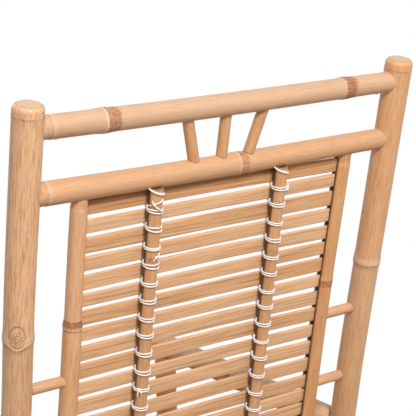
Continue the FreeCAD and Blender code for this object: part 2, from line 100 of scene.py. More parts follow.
def put(name: str, data: bpy.types.ID) -> bpy.types.Object:
    """A new object in the scene, with its mesh, lamp or lens."""
    bpy.context.scene.collection.objects.link(made := bpy.data.objects.new(name, data))
    return made


class Side(Enum):
    """The sitter's two sides, by the sign of their place across."""

    LEFT = 1.0
    RIGHT = -1.0

    def piece(self, part: str) -> str:
        """Name of a part of this side."""
        return f"{self.name.lower()}_{part}"


class Posts(Enum):
    """The posts that a cross rail joins."""

    FRONT = "front_post"
    BACK = "back_post"


@dataclass(frozen=True)
class Layout:
    """The chair's main sizes, in metres and degrees, as in its solids, and its rails' sag."""

    post_spacing: float = 0.600
    back_lean: float = 12.5
    arm_height: float = 0.590
    arm_reach: float = 0.504
    arm_overhang: float = 0.080
    back_joint_y: float = 0.1517
    seat_front_height: float = 0.397
    seat_tilt: float = 4.5
    side_stretcher_height: float = 0.222
    cross_stretcher_height: float = 0.172
    rocker_radius: float = 1.050
    rocker_tube: float = 0.021
    rocker_span: float = 0.870
    crest_height: float = 1.15625
    post_rise: float = 0.034
    shoulder_drop: float = 0.0865
    lower_rail_rise: float = 0.0585
    stile_spacing: float = 0.442
    slat_width: float = 0.0195
    slat_gap: float = 0.0076
    slat_margin: float = 0.0033
    slot_ease: float = 0.0002
    slot_margin: float = 0.0016
    back_slat: float = 0.005
    seat_slat: float = 0.007
    back_batten: float = 0.0097
    seat_batten: float = 0.009
    touch: float = 0.0003
    post: float = 0.020
    arm: float = 0.0205
    crest: float = 0.0155
    shoulder: float = 0.016
    seat_rail: float = 0.015
    seat_rail_bore: float = 0.010
    stretcher: float = 0.0135
    stile: float = 0.0115
    stile_bore: float = 0.0075
    stick: float = 0.008
    crest_sag: float = 0.0018
    crest_lift: float = 0.0006
    shoulder_sag: float = 0.0022

    @property
    def half(self) -> float:
        """Half the distance between the posts' axes."""
        return self.post_spacing / 2.0

    @property
    def front_post_y(self) -> float:
        """Where the front posts stand."""
        return self.back_joint_y - self.arm_reach

    @property
    def back(self) -> Matrix:
        """The back's own frame: z up the posts, y to the rear."""
        spot = Matrix.Translation((0.0, self.back_joint_y, self.arm_height))
        return spot @ Matrix.Rotation(-math.radians(self.back_lean), 4, "X")

    @property
    def seat(self) -> Matrix:
        """The seat's own frame: y down through the slats, z from the front posts to the back."""
        spot = Matrix.Translation((0.0, self.front_post_y, self.seat_front_height))
        return spot @ Matrix.Rotation(-math.radians(self.seat_tilt + 90.0), 4, "X")

    @property
    def crest_z(self) -> float:
        """The crest rail's place up the posts from the arms."""
        return (self.crest_height - self.arm_height) / math.cos(math.radians(self.back_lean))

    @property
    def shoulder_z(self) -> float:
        """The shoulder rail's place up the posts from the arms."""
        return self.crest_z - self.shoulder_drop

    @property
    def lower_rail_z(self) -> float:
        """The lower back rail's place up the posts from the arms."""
        return (self.back.inverted() @ self.rear_seat_rail).z + self.lower_rail_rise

    @property
    def rear_seat_rail(self) -> Vector:
        """The middle of the rear seat rail."""
        return self.in_seat(0.0, self.seat_drop, self.seat_depth(self.seat_drop))

    @property
    def seat_drop(self) -> float:
        """How far the seat's battens and cross rails lie under the slats' middle."""
        return self.seat_slat / 2.0 + self.touch + self.seat_batten

    @property
    def back_batten_y(self) -> float:
        """How far the back's battens lie behind the slats' middle."""
        return self.back_slat / 2.0 + self.touch + self.back_batten

    @property
    def rocker_axis(self) -> float:
        """Radius of the arc along the rockers' middle."""
        return self.rocker_radius - self.rocker_tube

    @property
    def rocker_length(self) -> float:
        """Length of the rockers' middle from tip to tip."""
        return 2.0 * self.rocker_axis * math.asin(self.rocker_span / 2.0 / self.rocker_axis)

    def in_back(self, x: float, y: float, z: float) -> Vector:
        """A point of the back, in the chair's frame."""
        return self.back @ Vector((x, y, z))

    def in_seat(self, x: float, drop: float, depth: float) -> Vector:
        """A point of the seat, in the chair's frame."""
        return self.seat @ Vector((x, drop, depth))

    def rail_point(self, z: float, sag: float, x: float) -> Vector:
        """A point of a back rail's axis, which sags between the posts."""
        bend = sag * math.sin(math.pi * (self.half - x) / self.post_spacing)
        return self.in_back(x, 0.0, z - bend)

    def back_post_y(self, height: float) -> float:
        """Where the back posts' axes cross a height."""
        return self.back_joint_y + (height - self.arm_height) * slope(self.back_lean)

    def seat_depth(self, drop: float) -> float:
        """The seat's depth at the back posts' axes, drop below the slats' middle."""
        low, high = (self.seat.inverted() @ self.in_back(0.0, 0.0, z) for z in (0.0, self.crest_z))
        return low.z + (drop - low.y) / (high.y - low.y) * (high.z - low.z)

    def seat_front(self, drop: float) -> float:
        """The seat's depth at the front posts' axes, drop below the slats' middle."""
        return drop * slope(self.seat_tilt)

    def back_post_foot(self, x: float) -> Vector:
        """Where a back post's axis meets its rocker's axis.

        Args:
            x: The post's place across.

        Returns:
            The meeting point.
        """
        lean = slope(self.back_lean)
        offset = self.back_post_y(self.rocker_radius)
        steep = 1.0 + lean**2
        root = math.sqrt(offset**2 * lean**2 - steep * (offset**2 - self.rocker_axis**2))
        below = (-offset * lean - root) / steep
        return Vector((x, offset + below * lean, self.rocker_radius + below))

    def rocker_z(self, y: float) -> float:
        """Height of a rocker's axis over the floor."""
        return self.rocker_radius - math.sqrt(self.rocker_axis**2 - y**2)

    def slat_steps(self, room: float) -> list[float]:
        """Spreads slats evenly over a room.

        Args:
            room: Length that they fill.

        Returns:
            How far each slat's middle lies from its start.
        """
        gap, wide = self.slat_gap, self.slat_width
        last = round((room + gap) / (wide + gap)) - 1
        return [wide / 2.0 + (room - wide) / last * k for k in range(last + 1)]


@dataclass(frozen=True)
class Sway:
    """How a grown upright strays sideways: its height up the back, its reach and its shift."""

    z: float
    reach: float
    shift: float

    def at(self, z: Values) -> Values:
        """The shift across at a height up the back."""
        return self.shift * hump(z - self.z, self.reach)


SWAYS = {
    "left_back_post": Sway(0.150, 0.170, -0.0060),
    "right_back_post": Sway(-0.020, 0.110, -0.0048),
    "left_back_stile": Sway(0.160, 0.200, -0.0052),
    "right_back_stile": Sway(0.040, 0.130, -0.0043),
}


class Wire:
    """One output of a shader node; arithmetic on it adds Math nodes."""

    def __init__(self, bench: "Bench", socket: bpy.types.NodeSocket) -> None:
        """Keeps the socket and the bench it belongs to."""
        self.bench = bench
        self.socket = socket

    def __add__(self, other: "Wire | float") -> "Wire":
        """Sum of two values."""
        return self.bench.maths("ADD", self, other)

    def __radd__(self, other: float) -> "Wire":
        """Sum with a number in front."""
        return self.bench.maths("ADD", other, self)

    def __sub__(self, other: "Wire | float") -> "Wire":
        """Difference of two values."""
        return self.bench.maths("SUBTRACT", self, other)

    def __rsub__(self, other: float) -> "Wire":
        """Difference from a number in front."""
        return self.bench.maths("SUBTRACT", other, self)

    def __mul__(self, other: "Wire | float") -> "Wire":
        """Product of two values."""
        return self.bench.maths("MULTIPLY", self, other)

    def __rmul__(self, other: float) -> "Wire":
        """Product with a number in front."""
        return self.bench.maths("MULTIPLY", other, self)


class Bench:
    """The node tree of one finish."""

    soft_rise: ClassVar[dict] = {"interpolation_type": "SMOOTHSTEP", "clamp": True}

    def __init__(self, tree: bpy.types.NodeTree) -> None:
        """Starts from an empty tree."""
        self.tree = tree
        tree.nodes.clear()

    def node(self, kind: str, settings: dict | None = None,
             inputs: dict | None = None) -> bpy.types.Node:
        """Adds a node.

        Args:
            kind: The node's type.
            settings: Values of the node's own properties, set first.
            inputs: Values or wires of its sockets, by the socket's identifier.

        Returns:
            The node.
        """
        made = self.tree.nodes.new(kind)
        for key, value in (settings or {}).items():
            setattr(made, key, value)
        for key, value in (inputs or {}).items():
            socket = next(s for s in made.inputs if s.identifier == key)
            if isinstance(value, Wire):
                self.tree.links.new(value.socket, socket)
            else:
                socket.default_value = (*value, 1.0) if socket.type == "RGBA" else value
        return made

    def wire(self, made: bpy.types.Node, output: str | None = None) -> Wire:
        """The output of a node with this identifier, or its first."""
        return Wire(self, next(s for s in made.outputs if output in (None, s.identifier)))

    def maths(self, operation: str, first: "Wire | float", second: "Wire | float") -> Wire:
        """A Math node of one operation on two values."""
        values = {"Value": first, "Value_001": second}
        return self.wire(self.node("ShaderNodeMath", {"operation": operation}, values))

    def paint(self, name: str, output: str = "Fac") -> Wire:
        """A value painted on the mesh's points."""
        settings = {"attribute_type": "GEOMETRY", "attribute_name": name}
        return self.wire(self.node("ShaderNodeAttribute", settings), output)

    def spot(self) -> Wire:
        """Places in the object's own frame."""
        return self.wire(self.node("ShaderNodeTexCoord"), "Object")

    def seen(self) -> Wire:
        """Tells the rays that look at the studio from those that light it.

        Returns:
            1 for rays of the camera, of reflections and through glass, and 0 for the others.
        """
        path = self.node("ShaderNodeLightPath")
        camera, gloss, glass = (self.wire(path, f"Is {kind} Ray")
                                for kind in ("Camera", "Glossy", "Transmission"))
        return self.maths("MAXIMUM", self.maths("MAXIMUM", camera, gloss), glass)

    def stretched(self, vector: Wire, factors: Colour) -> Wire:
        """A vector scaled by a factor on each axis."""
        inputs = {"Vector": vector, "Vector_001": factors}
        return self.wire(self.node("ShaderNodeVectorMath", {"operation": "MULTIPLY"}, inputs))

    def noise(self, vector: Wire, scale: float, detail: float, roughness: float = 0.55) -> Wire:
        """Cloudy noise from 0 to 1."""
        inputs = {"Vector": vector, "Scale": scale, "Detail": detail, "Roughness": roughness}
        return self.wire(self.node("ShaderNodeTexNoise", None, inputs), "Fac")

    def rise(self, value: Wire, low: float, high: float) -> Wire:
        """Rises softly from 0 at low to 1 at high, which lies below low for a fall."""
        inputs = {"Value": value, "From Min": low, "From Max": high}
        return self.wire(self.node("ShaderNodeMapRange", self.soft_rise, inputs))

    def blend(self, share: "Wire | float", first: "Wire | Colour", second: "Wire | Colour") -> Wire:
        """A colour between two others, by the second one's share."""
        inputs = {"Factor_Float": share, "A_Color": first, "B_Color": second}
        return self.wire(self.node("ShaderNodeMix", {"data_type": "RGBA"}, inputs), "Result_Color")

    def coats(self, colour: Wire, *coats: tuple[Wire, "Wire | Colour"]) -> Wire:
        """Lays coats of colour over each other.

        Args:
            colour: What lies below.
            coats: Each coat's share and colour, from the lowest up.

        Returns:
            The colour that shows.
        """
        for share, coat in coats:
            colour = self.blend(share, colour, coat)
        return colour

    def bump(self, height: Wire, distance: float, strength: float) -> Wire:
        """A normal roughened by a height."""
        inputs = {"Height": height, "Distance": distance, "Strength": strength}
        return self.wire(self.node("ShaderNodeBump", None, inputs))

    def surface(self, inputs: dict) -> None:
        """Ends the tree in a principled surface with these sockets."""
        shader = self.node("ShaderNodeBsdfPrincipled", None, inputs)
        self.node("ShaderNodeOutputMaterial", None, {"Surface": self.wire(shader)})


@dataclass(frozen=True)
class Look:
    """A finish; each kind builds its own shader."""

    name: str

    def shade(self, b: Bench) -> None:
        """Builds the shader on an empty bench."""
        raise NotImplementedError

    def material(self) -> bpy.types.Material:
        """Makes the material.

        Returns:
            The material with its shader.
        """
        made = bpy.data.materials.new(self.name)
        made.use_nodes = True
        self.shade(Bench(made.node_tree))
        return made


@dataclass(frozen=True)
class CulmSkin(Look):
    """Satin bamboo skin: fibre streaks, soft blotches, scaly bands and pale ridges at knuckles."""

    pale: Colour
    deep: Colour
    olive: Colour = (0.545, 0.335, 0.150)
    blush: Colour = (0.660, 0.455, 0.310)
    fibre: Colour = (0.385, 0.165, 0.070)
    light: Colour = (0.830, 0.590, 0.390)
    scale_tan: Colour = (0.430, 0.175, 0.075)
    scale_brown: Colour = (0.190, 0.062, 0.024)
    ridge: Colour = (0.850, 0.640, 0.460)
    red_line: Colour = (0.215, 0.074, 0.032)
    bare: Colour = (0.700, 0.475, 0.310)
    # Colour of painted shade: crevices at coped ends and battens, slot lips and the inside of
    # bores.
    grime: Colour = (0.070, 0.030, 0.014)
    roughness: float = 0.40

    def shade(self, b: Bench) -> None:
        """Builds the shader from the grain and the painted values of each culm.

        Args:
            b: The bench to build it on.
        """
        grain = b.paint("grain", "Vector")
        long = b.stretched(grain, (1.0, 1.0, 0.060))
        patch = b.noise(b.stretched(grain, (1.0, 1.0, 0.25)), 30.0, 3.0)
        streak = b.noise(long, 520.0, 3.0, 0.6)
        hair = b.noise(long, 1050.0, 2.0, 0.6)
        fleck = b.noise(b.stretched(grain, (1.0, 1.0, 0.20)), 640.0, 2.0, 0.7)
        scales = b.noise(b.stretched(grain, (1.0, 1.0, 0.60)), 360.0, 3.0, 0.7)
        band, coarse, bare = b.paint("band"), b.paint("fibre"), b.paint("bare")
        depth = b.rise(b.paint("tone") + (patch - 0.5) * 0.85, 0.0, 1.0)
        colour = b.coats(
            b.blend(depth, self.pale, self.deep),
            (b.paint("olive") * 0.8, self.olive),
            (b.paint("blush") * 0.8, self.blush),
            (b.rise(streak, 0.49, 0.64) * coarse * 0.62, self.fibre),
            (b.rise(streak, 0.48, 0.34) * coarse * 0.55, self.light),
            (b.rise(hair, 0.52, 0.70) * (0.15 + 0.30 * coarse), self.fibre),
            (b.rise(fleck, 0.60, 0.74) * (0.12 + 0.36 * coarse), self.scale_brown),
            (bare, b.blend(b.rise(fleck, 0.55, 0.75) * 0.30, self.bare, self.deep)),
            # pale rings: the knuckles' own ridges, and painted highlights at a shaved end's edge
            # and round a bud's rim
            (b.paint("ring") * 0.80, self.ridge),
            (b.rise(scales + 0.5 * band, 0.56, 0.94) * band, self.scale_tan),
            (band * b.rise(scales, 0.50, 0.68) * 0.80, self.scale_brown),
            (b.paint("line") * (0.35 + 0.65 * b.rise(scales, 0.36, 0.56)), self.red_line),
            # painted shade over all other coats
            (b.paint("grime"), self.grime),
        )
        b.surface({
            "Base Color": colour,
            "Roughness": self.roughness + 0.16 * patch + 0.20 * band + 0.12 * bare,
            "Normal": b.bump(0.5 * hair + 0.5 * streak + 1.2 * scales * band, 0.00040, 0.6),
            "Specular IOR Level": 0.44,
            "Coat Weight": 0.12,
            "Coat Roughness": 0.28,
        })


@dataclass(frozen=True)
class SplitSlat(Look):
    """Planed split bamboo: straight dark fibre lines, tone changing from slat to slat."""

    name: str = "split_slat"
    pale: Colour = (0.905, 0.580, 0.345)
    deep: Colour = (0.700, 0.352, 0.150)
    fibre: Colour = (0.270, 0.100, 0.033)
    light: Colour = (0.900, 0.650, 0.430)
    # Colour of the painted shadow that the shoulder rail casts on the first slat.
    grime: Colour = (0.150, 0.066, 0.032)
    roughness: float = 0.50

    def shade(self, b: Bench) -> None:
        """Builds the shader from the grain and the tone of each slat.

        Args:
            b: The bench to build it on.
        """
        grain, tone = b.paint("grain", "Vector"), b.paint("tone")
        long = b.stretched(grain, (0.016, 1.0, 1.0))
        patch = b.noise(b.stretched(grain, (0.14, 1.0, 1.0)), 42.0, 3.0)
        vein = b.noise(long, 480.0, 2.0, 0.6)
        line = b.noise(b.stretched(grain, (0.012, 1.0, 1.0)), 520.0, 1.0, 0.5)
        hair = b.noise(long, 900.0, 2.0, 0.6)
        fleck = b.noise(b.stretched(grain, (0.05, 1.0, 1.0)), 700.0, 2.0, 0.7)
        depth = b.rise(tone + (patch - 0.5) * 0.9, 0.0, 1.0)
        colour = b.coats(
            b.blend(depth, self.pale, self.deep),
            (b.rise(vein, 0.49, 0.64) * 0.36, self.deep),
            (b.rise(vein, 0.48, 0.34) * 0.36, self.light),
            (b.rise(line, 0.57, 0.66) * (0.12 + 0.60 * tone), self.fibre),
            (b.rise(hair, 0.50, 0.70) * 0.36, self.fibre),
            (b.rise(fleck, 0.62, 0.76) * 0.34, self.fibre),
            # painted shadow of the shoulder rail
            (b.paint("grime"), self.grime),
        )
        b.surface({
            "Base Color": colour,
            "Roughness": self.roughness + 0.18 * patch,
            "Normal": b.bump(0.6 * hair + 0.6 * vein, 0.0004, 0.6),
            "Specular IOR Level": 0.36,
        })


@dataclass(frozen=True)
class LashCord(Look):
    """Bleached cotton cord, with painted shade in the groove between its strands."""

    name: str = "lashing_cord"
    white: Colour = (0.945, 0.935, 0.915)
    shadow: Colour = (0.700, 0.665, 0.625)
    # the cord's own stains, in soft patches
    stain_and_shadow: Colour = (0.80, 0.70, 0.58)

    def shade(self, b: Bench) -> None:
        """Builds the shader from the cord's grain and the groove between its strands.

        Args:
            b: The bench to build it on.
        """
        grain = b.paint("grain", "Vector")
        fuzz = b.noise(grain, 2600.0, 3.0, 0.7)
        stain_and_shadow = b.noise(grain, 90.0, 2.0)
        # painted shade in the groove between the strands, with grey flecks of the fuzz
        groove_shade_and_fuzz = b.paint("groove") * 0.45 + b.rise(fuzz, 0.55, 0.80) * 0.20
        colour = b.blend(groove_shade_and_fuzz, self.white, self.shadow)
        b.surface({
            "Base Color": b.coats(colour, (b.rise(stain_and_shadow, 0.58, 0.80) * 0.20, self.stain_and_shadow)),
            "Roughness": 0.80 + 0.12 * stain_and_shadow,
            "Normal": b.bump(fuzz, 0.0003, 0.6),
            "Specular IOR Level": 0.25,
            "Sheen Weight": 0.25,
        })


@dataclass(frozen=True)
class DowelWood(Look):
    """Pale turned hardwood of the dowels and pins."""

    name: str = "dowel_wood"
    pale: Colour = (0.63, 0.42, 0.23)
    dark: Colour = (0.40, 0.22, 0.095)

    def shade(self, b: Bench) -> None:
        """Builds the shader, grained by place because the dowels are plain solids.

        Args:
            b: The bench to build it on.
        """
        spot = b.spot()
        ring = b.noise(b.stretched(spot, (1.0, 0.25, 1.0)), 260.0, 3.0, 0.6)
        pore = b.noise(spot, 1900.0, 2.0)
        colour = b.blend(b.rise(ring, 0.35, 0.70), self.pale, self.dark)
        b.surface({
            "Base Color": b.coats(colour, (b.rise(pore, 0.60, 0.80) * 0.35, self.dark)),
            "Roughness": 0.55 + 0.15 * ring,
            "Normal": b.bump(pore, 0.0002, 0.5),
        })


@dataclass(frozen=True)
class PaleFloor(Look):
    """A pale floor that keeps the chair's shadow and runs out to plain white."""

    name: str = "pale_floor"
    pale: Colour = (0.86, 0.86, 0.86)
    paler: Colour = (0.90, 0.90, 0.90)
    unseen: Colour = (0.44, 0.36, 0.28)
    shadow_reach: Pair = (0.95, 1.45)

    def shade(self, b: Bench) -> None:
        """Builds the shader, which lights the chair as a warmer floor would.

        Args:
            b: The bench to build it on.
        """
        spot, seen = b.spot(), b.seen()
        length = b.node("ShaderNodeVectorMath", {"operation": "LENGTH"}, {"Vector": spot})
        speck = b.blend(b.noise(spot, 35.0, 3.0), self.pale, self.paler)
        matt = b.node("ShaderNodeBsdfDiffuse", None, {"Color": b.blend(seen, self.unseen, speck)})
        white = b.node("ShaderNodeEmission", None, {"Color": WHITE, "Strength": 1.0})
        both = b.node("ShaderNodeMixShader", None, {
            "Fac": seen * b.rise(b.wire(length, "Value"), *self.shadow_reach),
            "Shader": b.wire(matt),
            "Shader_001": b.wire(white),
        })
        b.node("ShaderNodeOutputMaterial", None, {"Surface": b.wire(both)})


class Finish(Enum):
    """The finishes, named by the record's material slots."""

    CULM = "culm"
    CANE = "thin_cane"
    SLAT = "split_slat"
    CORD = "lashing_cord"
    DOWEL = "dowel_wood"


LOOKS = {
    Finish.CULM: CulmSkin("culm_skin", (0.890, 0.530, 0.300), (0.715, 0.345, 0.136)),
    Finish.CANE: CulmSkin("cane_skin", (0.775, 0.430, 0.205), (0.430, 0.175, 0.060)),
    Finish.SLAT: SplitSlat(),
    Finish.CORD: LashCord(),
    Finish.DOWEL: DowelWood(),
}


@cache
def material_of(finish: Finish) -> bpy.types.Material:
    """The material of a finish, made once."""
    return LOOKS[finish].material()


class Skin:
    """Gathers the tubes of one piece with their paint, and makes its mesh."""

    def __init__(self) -> None:
        """Starts with nothing."""
        self.points: list[Grid] = []
        self.faces: list[list[int]] = []
        self.paint: dict[str, list[Grid]] = {}
        self.count = 0

    def add_tube(self, points: Grid, paint: dict[str, Grid], caps: bool = True) -> None:
        """Adds a tube of rows by columns.

        Args:
            points: Places, rows by columns by 3; columns go round so that faces look outward.
            paint: Values by name, rows by columns, or by 3 for a vector.
            caps: Whether both ends are closed with a fan.
        """
        rows, cols = points.shape[:2]
        flat = {name: np.asarray(v, float).reshape(rows * cols, -1) for name, v in paint.items()}
        index = np.arange(rows * cols).reshape(rows, cols) + self.count
        after = np.roll(index, -1, axis=1)
        quads = np.stack([index[:-1], after[:-1], after[1:], index[1:]], axis=-1)
        self.faces += quads.reshape(-1, 4).tolist()
        self.points.append(points.reshape(-1, 3))
        self.count += rows * cols
        for row in (0, rows - 1) if caps else ():
            pairs = zip(index[row].tolist(), after[row].tolist())
            self.faces += [[self.count, b, a] if row == 0 else [self.count, a, b] for a, b in pairs]
            self.points.append(points[row].mean(0)[None, :])
            for name, values in flat.items():
                tip = values[row * cols:(row + 1) * cols].mean(0, keepdims=True)
                flat[name] = np.vstack([values, tip])
            self.count += 1
        for name, values in flat.items():
            self.paint.setdefault(name, []).append(values)

    def piece(self, name: str, finish: Finish, solid: str) -> None:
        """Makes the object, rides it on the chair and lets it stand for its solids.

        Args:
            name: The piece's name.
            finish: Its finish.
            solid: The node of the solids that it stands for.
        """
        mesh = bpy.data.meshes.new(name)
        mesh.from_pydata(np.vstack(self.points).tolist(), [], self.faces)
        mesh.polygons.foreach_set("use_smooth", [True] * len(mesh.polygons))
        for key, parts in self.paint.items():
            values = np.vstack(parts).astype(np.float32)
            vector = values.shape[1] == 3
            layer = mesh.attributes.new(key, "FLOAT_VECTOR" if vector else "FLOAT", "POINT")
            layer.data.foreach_set("vector" if vector else "value", values.ravel())
        mesh.materials.append(material_of(finish))
        made = put(name, mesh)
        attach(made, "root")
        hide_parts(solid)
        LOG.info("%s: %d points, stands for %s", name, self.count, solid)


@dataclass(frozen=True)
class KnuckleLook:
    """Shape and paint of a knuckle, by signed distance along the culm from its ridge, in metres."""

    rise: float = 0.0012
    before: float = 0.0065
    after: float = 0.0045
    groove: float = 0.0004
    groove_wide: float = 0.0011
    line_at: float = 0.0022
    line: float = 0.55
    line_wide: float = 0.0010
    ring_at: float = -0.0012
    ring: float = 0.5
    ring_wide: float = 0.0018
    band_from: float = 0.0
    band_to: float = 0.0
    band: float = 0.0
    fray: float = 0.0010


class Knuckle(Enum):
    """The kinds of knuckle that the chair's culms show."""

    RIDGE = KnuckleLook(
        rise=0.0013, before=0.0120, after=0.0040, line_at=0.0010, line=0.85, ring_at=-0.0058,
        ring=0.55, ring_wide=0.0052, band_from=0.0012, band_to=0.0065, band=0.22)
    SCALY = KnuckleLook(
        rise=0.0011, before=0.0085, after=0.0130, line_at=0.0212, line=0.20, ring_at=0.0, ring=1.0,
        ring_wide=0.0011, band_from=0.0014, band_to=0.0210, band=0.80)
    RUSTY = KnuckleLook(
        rise=0.0011, before=0.0085, after=0.0110, line_at=-0.0012, line=0.30, ring_at=0.0006,
        ring=0.7, ring_wide=0.0010, band_from=-0.0030, band_to=0.0165, band=0.95, fray=0.0050)
    SOFT = KnuckleLook(
        rise=0.0008, before=0.0080, after=0.0090, line_at=0.0135, line=0.25, ring_at=-0.0002,
        ring=0.6, ring_wide=0.0011, band_from=0.0012, band_to=0.0145, band=0.64, fray=0.0020)
    DARK = KnuckleLook(
        line_at=0.0042, line=0.7, ring_at=0.0016, ring=0.6, band_from=-0.0115, band_to=-0.0010,
        band=1.0, fray=0.0016)
    THIN = KnuckleLook(
        rise=0.0007, line_at=0.0, line=0.9, ring=0.2, band_from=0.0002, band_to=0.0110, band=0.80)
    SPECKED = KnuckleLook(
        rise=0.0003, before=0.003, after=0.003, groove=0.0001, line=0.0, ring=0.0,
        band_from=-0.0014, band_to=0.0018, band=0.62, fray=0.0014)
    FAINT = KnuckleLook(
        rise=0.0003, before=0.003, after=0.003, groove=0.0002, line_at=0.0, line=0.45, ring=0.2,
        band_from=-0.004, band_to=0.014, band=0.50, fray=0.006)
    PLANED = KnuckleLook(
        rise=0.0, groove=0.0, line_at=0.0, line=0.6, ring=0.35, band_to=0.008, band=0.35)


@dataclass(frozen=True)
class Scar:
    """A branch scar at a ridge that dips under it: an eye with a bud whose upper half is folded.

    Heights and lengths are in metres. Places and widths of rims are shares of the eye's or bud's
    size.
    """

    dip: float = 0.0070
    dip_wide: float = 0.012
    wide: float = 0.0112
    up: float = 0.0185
    down: float = 0.0125
    middle: float = -0.0085
    bud: float = 0.0042
    fold: float = 0.0015
    swell: float = 0.0013
    rim: Triple = (0.0006, 1.0, 0.10)
    lid: tuple[Triple, ...] = (
        (0.0008, 0.95, 0.22), (-0.0006, 0.62, 0.16), (-0.0006, 1.3, 0.20))
    lid_least: float = 0.25
    bud_wide: float = 0.55
    inside: Pair = (0.80, 1.0)
    brow: Triple = (0.45, -0.0058, 0.0010)
    skin: float = 0.42
    # painted highlight round the bud's rim: strength, place and width
    ring: Triple = (0.85, 0.95, 0.18)
    eye_line: tuple[float, ...] = (0.25, 0.55, 1.0, 0.075)
    bud_lines: tuple[tuple[float, ...], ...] = ((0.20, 0.75, 1.30, 0.20), (0.30, 0.60, 0.62, 0.18))

    def rims(self, off: Grid, arc: Grid) -> tuple[Grid, Grid, Grid]:
        """Finds the eye and the bud.

        Args:
            off: Signed distance along the culm from the ridge's own level.
            arc: Distance round the culm from the scar's middle.

        Returns:
            Distances from the middle as shares of the eye's and of the bud's size, and 1 over the
            bud's upper half.
        """
        off = off - self.middle
        eye = np.hypot(arc / self.wide, np.where(off < 0.0, off / self.up, off / self.down))
        return eye, np.hypot(arc / self.bud, off / self.bud), smooth(-self.fold, self.fold, -off)

    def relief(self, off: Grid, arc: Grid) -> Grid:
        """How far the scar stands out.

        Args:
            off: Signed distance along the culm from the ridge's own level.
            arc: Distance round the culm from the scar's middle.

        Returns:
            The height over the skin.
        """
        eye, bud, folded = self.rims(off, arc)
        low, at, wide = self.rim
        out = self.swell * np.clip(1.0 - eye**2, 0.0, None) - low * hump(eye - at, wide)
        lid = sum(high * hump(bud - place, width) for high, place, width in self.lid)
        lid = lid * (self.lid_least + (1.0 - self.lid_least) * folded)
        return out + self.swell * hump(bud, self.bud_wide) + lid

    def colours(self, paint: dict[str, Grid], gap: Grid, off: Grid, arc: Grid) -> dict[str, Grid]:
        """Paints the scar over its knuckle.

        Args:
            paint: The knuckle's own paint.
            gap: Signed distance along the culm from the dipped ridge.
            off: Signed distance along the culm from the ridge's own level.
            arc: Distance round the culm from the scar's middle.

        Returns:
            The paint of both.
        """
        eye, bud, folded = self.rims(off, arc)
        inside = 1.0 - smooth(*self.inside, eye)
        dark, at, wide = self.brow
        line = np.maximum(paint["line"], dark * hump(gap - at, wide)) * (1.0 - inside)
        rows = [(eye, self.eye_line), *((bud, row) for row in self.bud_lines)]
        for far, (plain, more, rim, width) in rows:
            line = np.maximum(line, (plain + more * folded) * hump(far - rim, width))
        pale, at, wide = self.ring
        return {
            "band": np.maximum(paint["band"] * (1.0 - inside), self.skin * inside),
            "line": line,
            # painted highlight round the bud's rim
            "ring": np.maximum(paint["ring"] * (1.0 - inside), pale * hump(bud - at, wide)),
        }


@dataclass(frozen=True)
class Node:
    """One knuckle: its place from the culm's start, its kind, its direction, a scar or none."""

    place: float
    kind: Knuckle = Knuckle.RIDGE
    turned: bool = False
    scar: Scar | None = None
    reaches: Triple = (0.016, 0.026, 0.034)
    long_band: float = 0.012
    band_start: float = 0.0008
    band_end: Pair = (0.0020, 0.0012)
    start_fray: float = 0.4
    waves: tuple[Triple, ...] = (
        (0.5, 1900.0, 977.0), (0.3, 3300.0, 499.0), (0.3, 5300.0, 211.0))

    @property
    def reach(self) -> float:
        """How far to both sides it shapes the skin: plain, with a long band or with a scar."""
        banded = self.kind.value.band_to > self.long_band
        return self.reaches[2 if self.scar else int(banded)]

    def from_ridge(self, s: Grid) -> Grid:
        """Signed distance from the ridge's own level, positive on the knuckle's after side."""
        return (self.place - s) if self.turned else (s - self.place)

    def along(self, s: Grid, arc: Grid) -> Grid:
        """Signed distance from the ridge, which dips below a scar at arc zero."""
        scar = self.scar
        return self.from_ridge(s) - (scar.dip * hump(arc, scar.dip_wide) if scar else 0.0)

    def relief(self, s: Grid, arc: Grid) -> Grid:
        """How far the skin stands out.

        Args:
            s: Places along the culm.
            arc: Distances round the culm from the scar's middle.

        Returns:
            The height over the plain culm.
        """
        look, gap = self.kind.value, self.along(s, arc)
        out = look.rise * np.where(gap < 0.0, hump(gap, look.before), hump(gap, look.after))
        out = out - look.groove * hump(gap - look.line_at, look.groove_wide)
        return out + self.scar.relief(self.from_ridge(s), arc) if self.scar else out

    def ragged(self, arc: Grid) -> Grid:
        """An uneven edge round the culm, from about -1 to 1."""
        return sum(high * np.sin(arc * fine + self.place * start)
                   for high, fine, start in self.waves)

    def colours(self, s: Grid, arc: Grid) -> dict[str, Grid]:
        """Paints the knuckle.

        Args:
            s: Places along the culm.
            arc: Distances round the culm from the scar's middle.

        Returns:
            Values by name.
        """
        look, gap = self.kind.value, self.along(s, arc)
        edge = look.fray * self.ragged(arc)
        band = about(look.band_from, self.band_start, gap - self.start_fray * edge)
        low, high = look.band_to - self.band_end[0], look.band_to + self.band_end[1]
        paint = {
            "band": band * (1.0 - smooth(low, high, gap - edge)) * look.band,
            "line": look.line * hump(gap - look.line_at, look.line_wide),
            "ring": look.ring * hump(gap - look.ring_at, look.ring_wide),
        }
        return self.scar.colours(paint, gap, self.from_ridge(s), arc) if self.scar else paint


@dataclass(frozen=True)
class Shade:
    """The tone of a culm from a place on, and how far it turns to olive."""

    place: float
    tone: float
    olive: float = 0.0


@dataclass(frozen=True)
class Host:
    """A straight run of culm that another culm's end sits against."""

    point: Vector
    axis: Vector
    radius: float


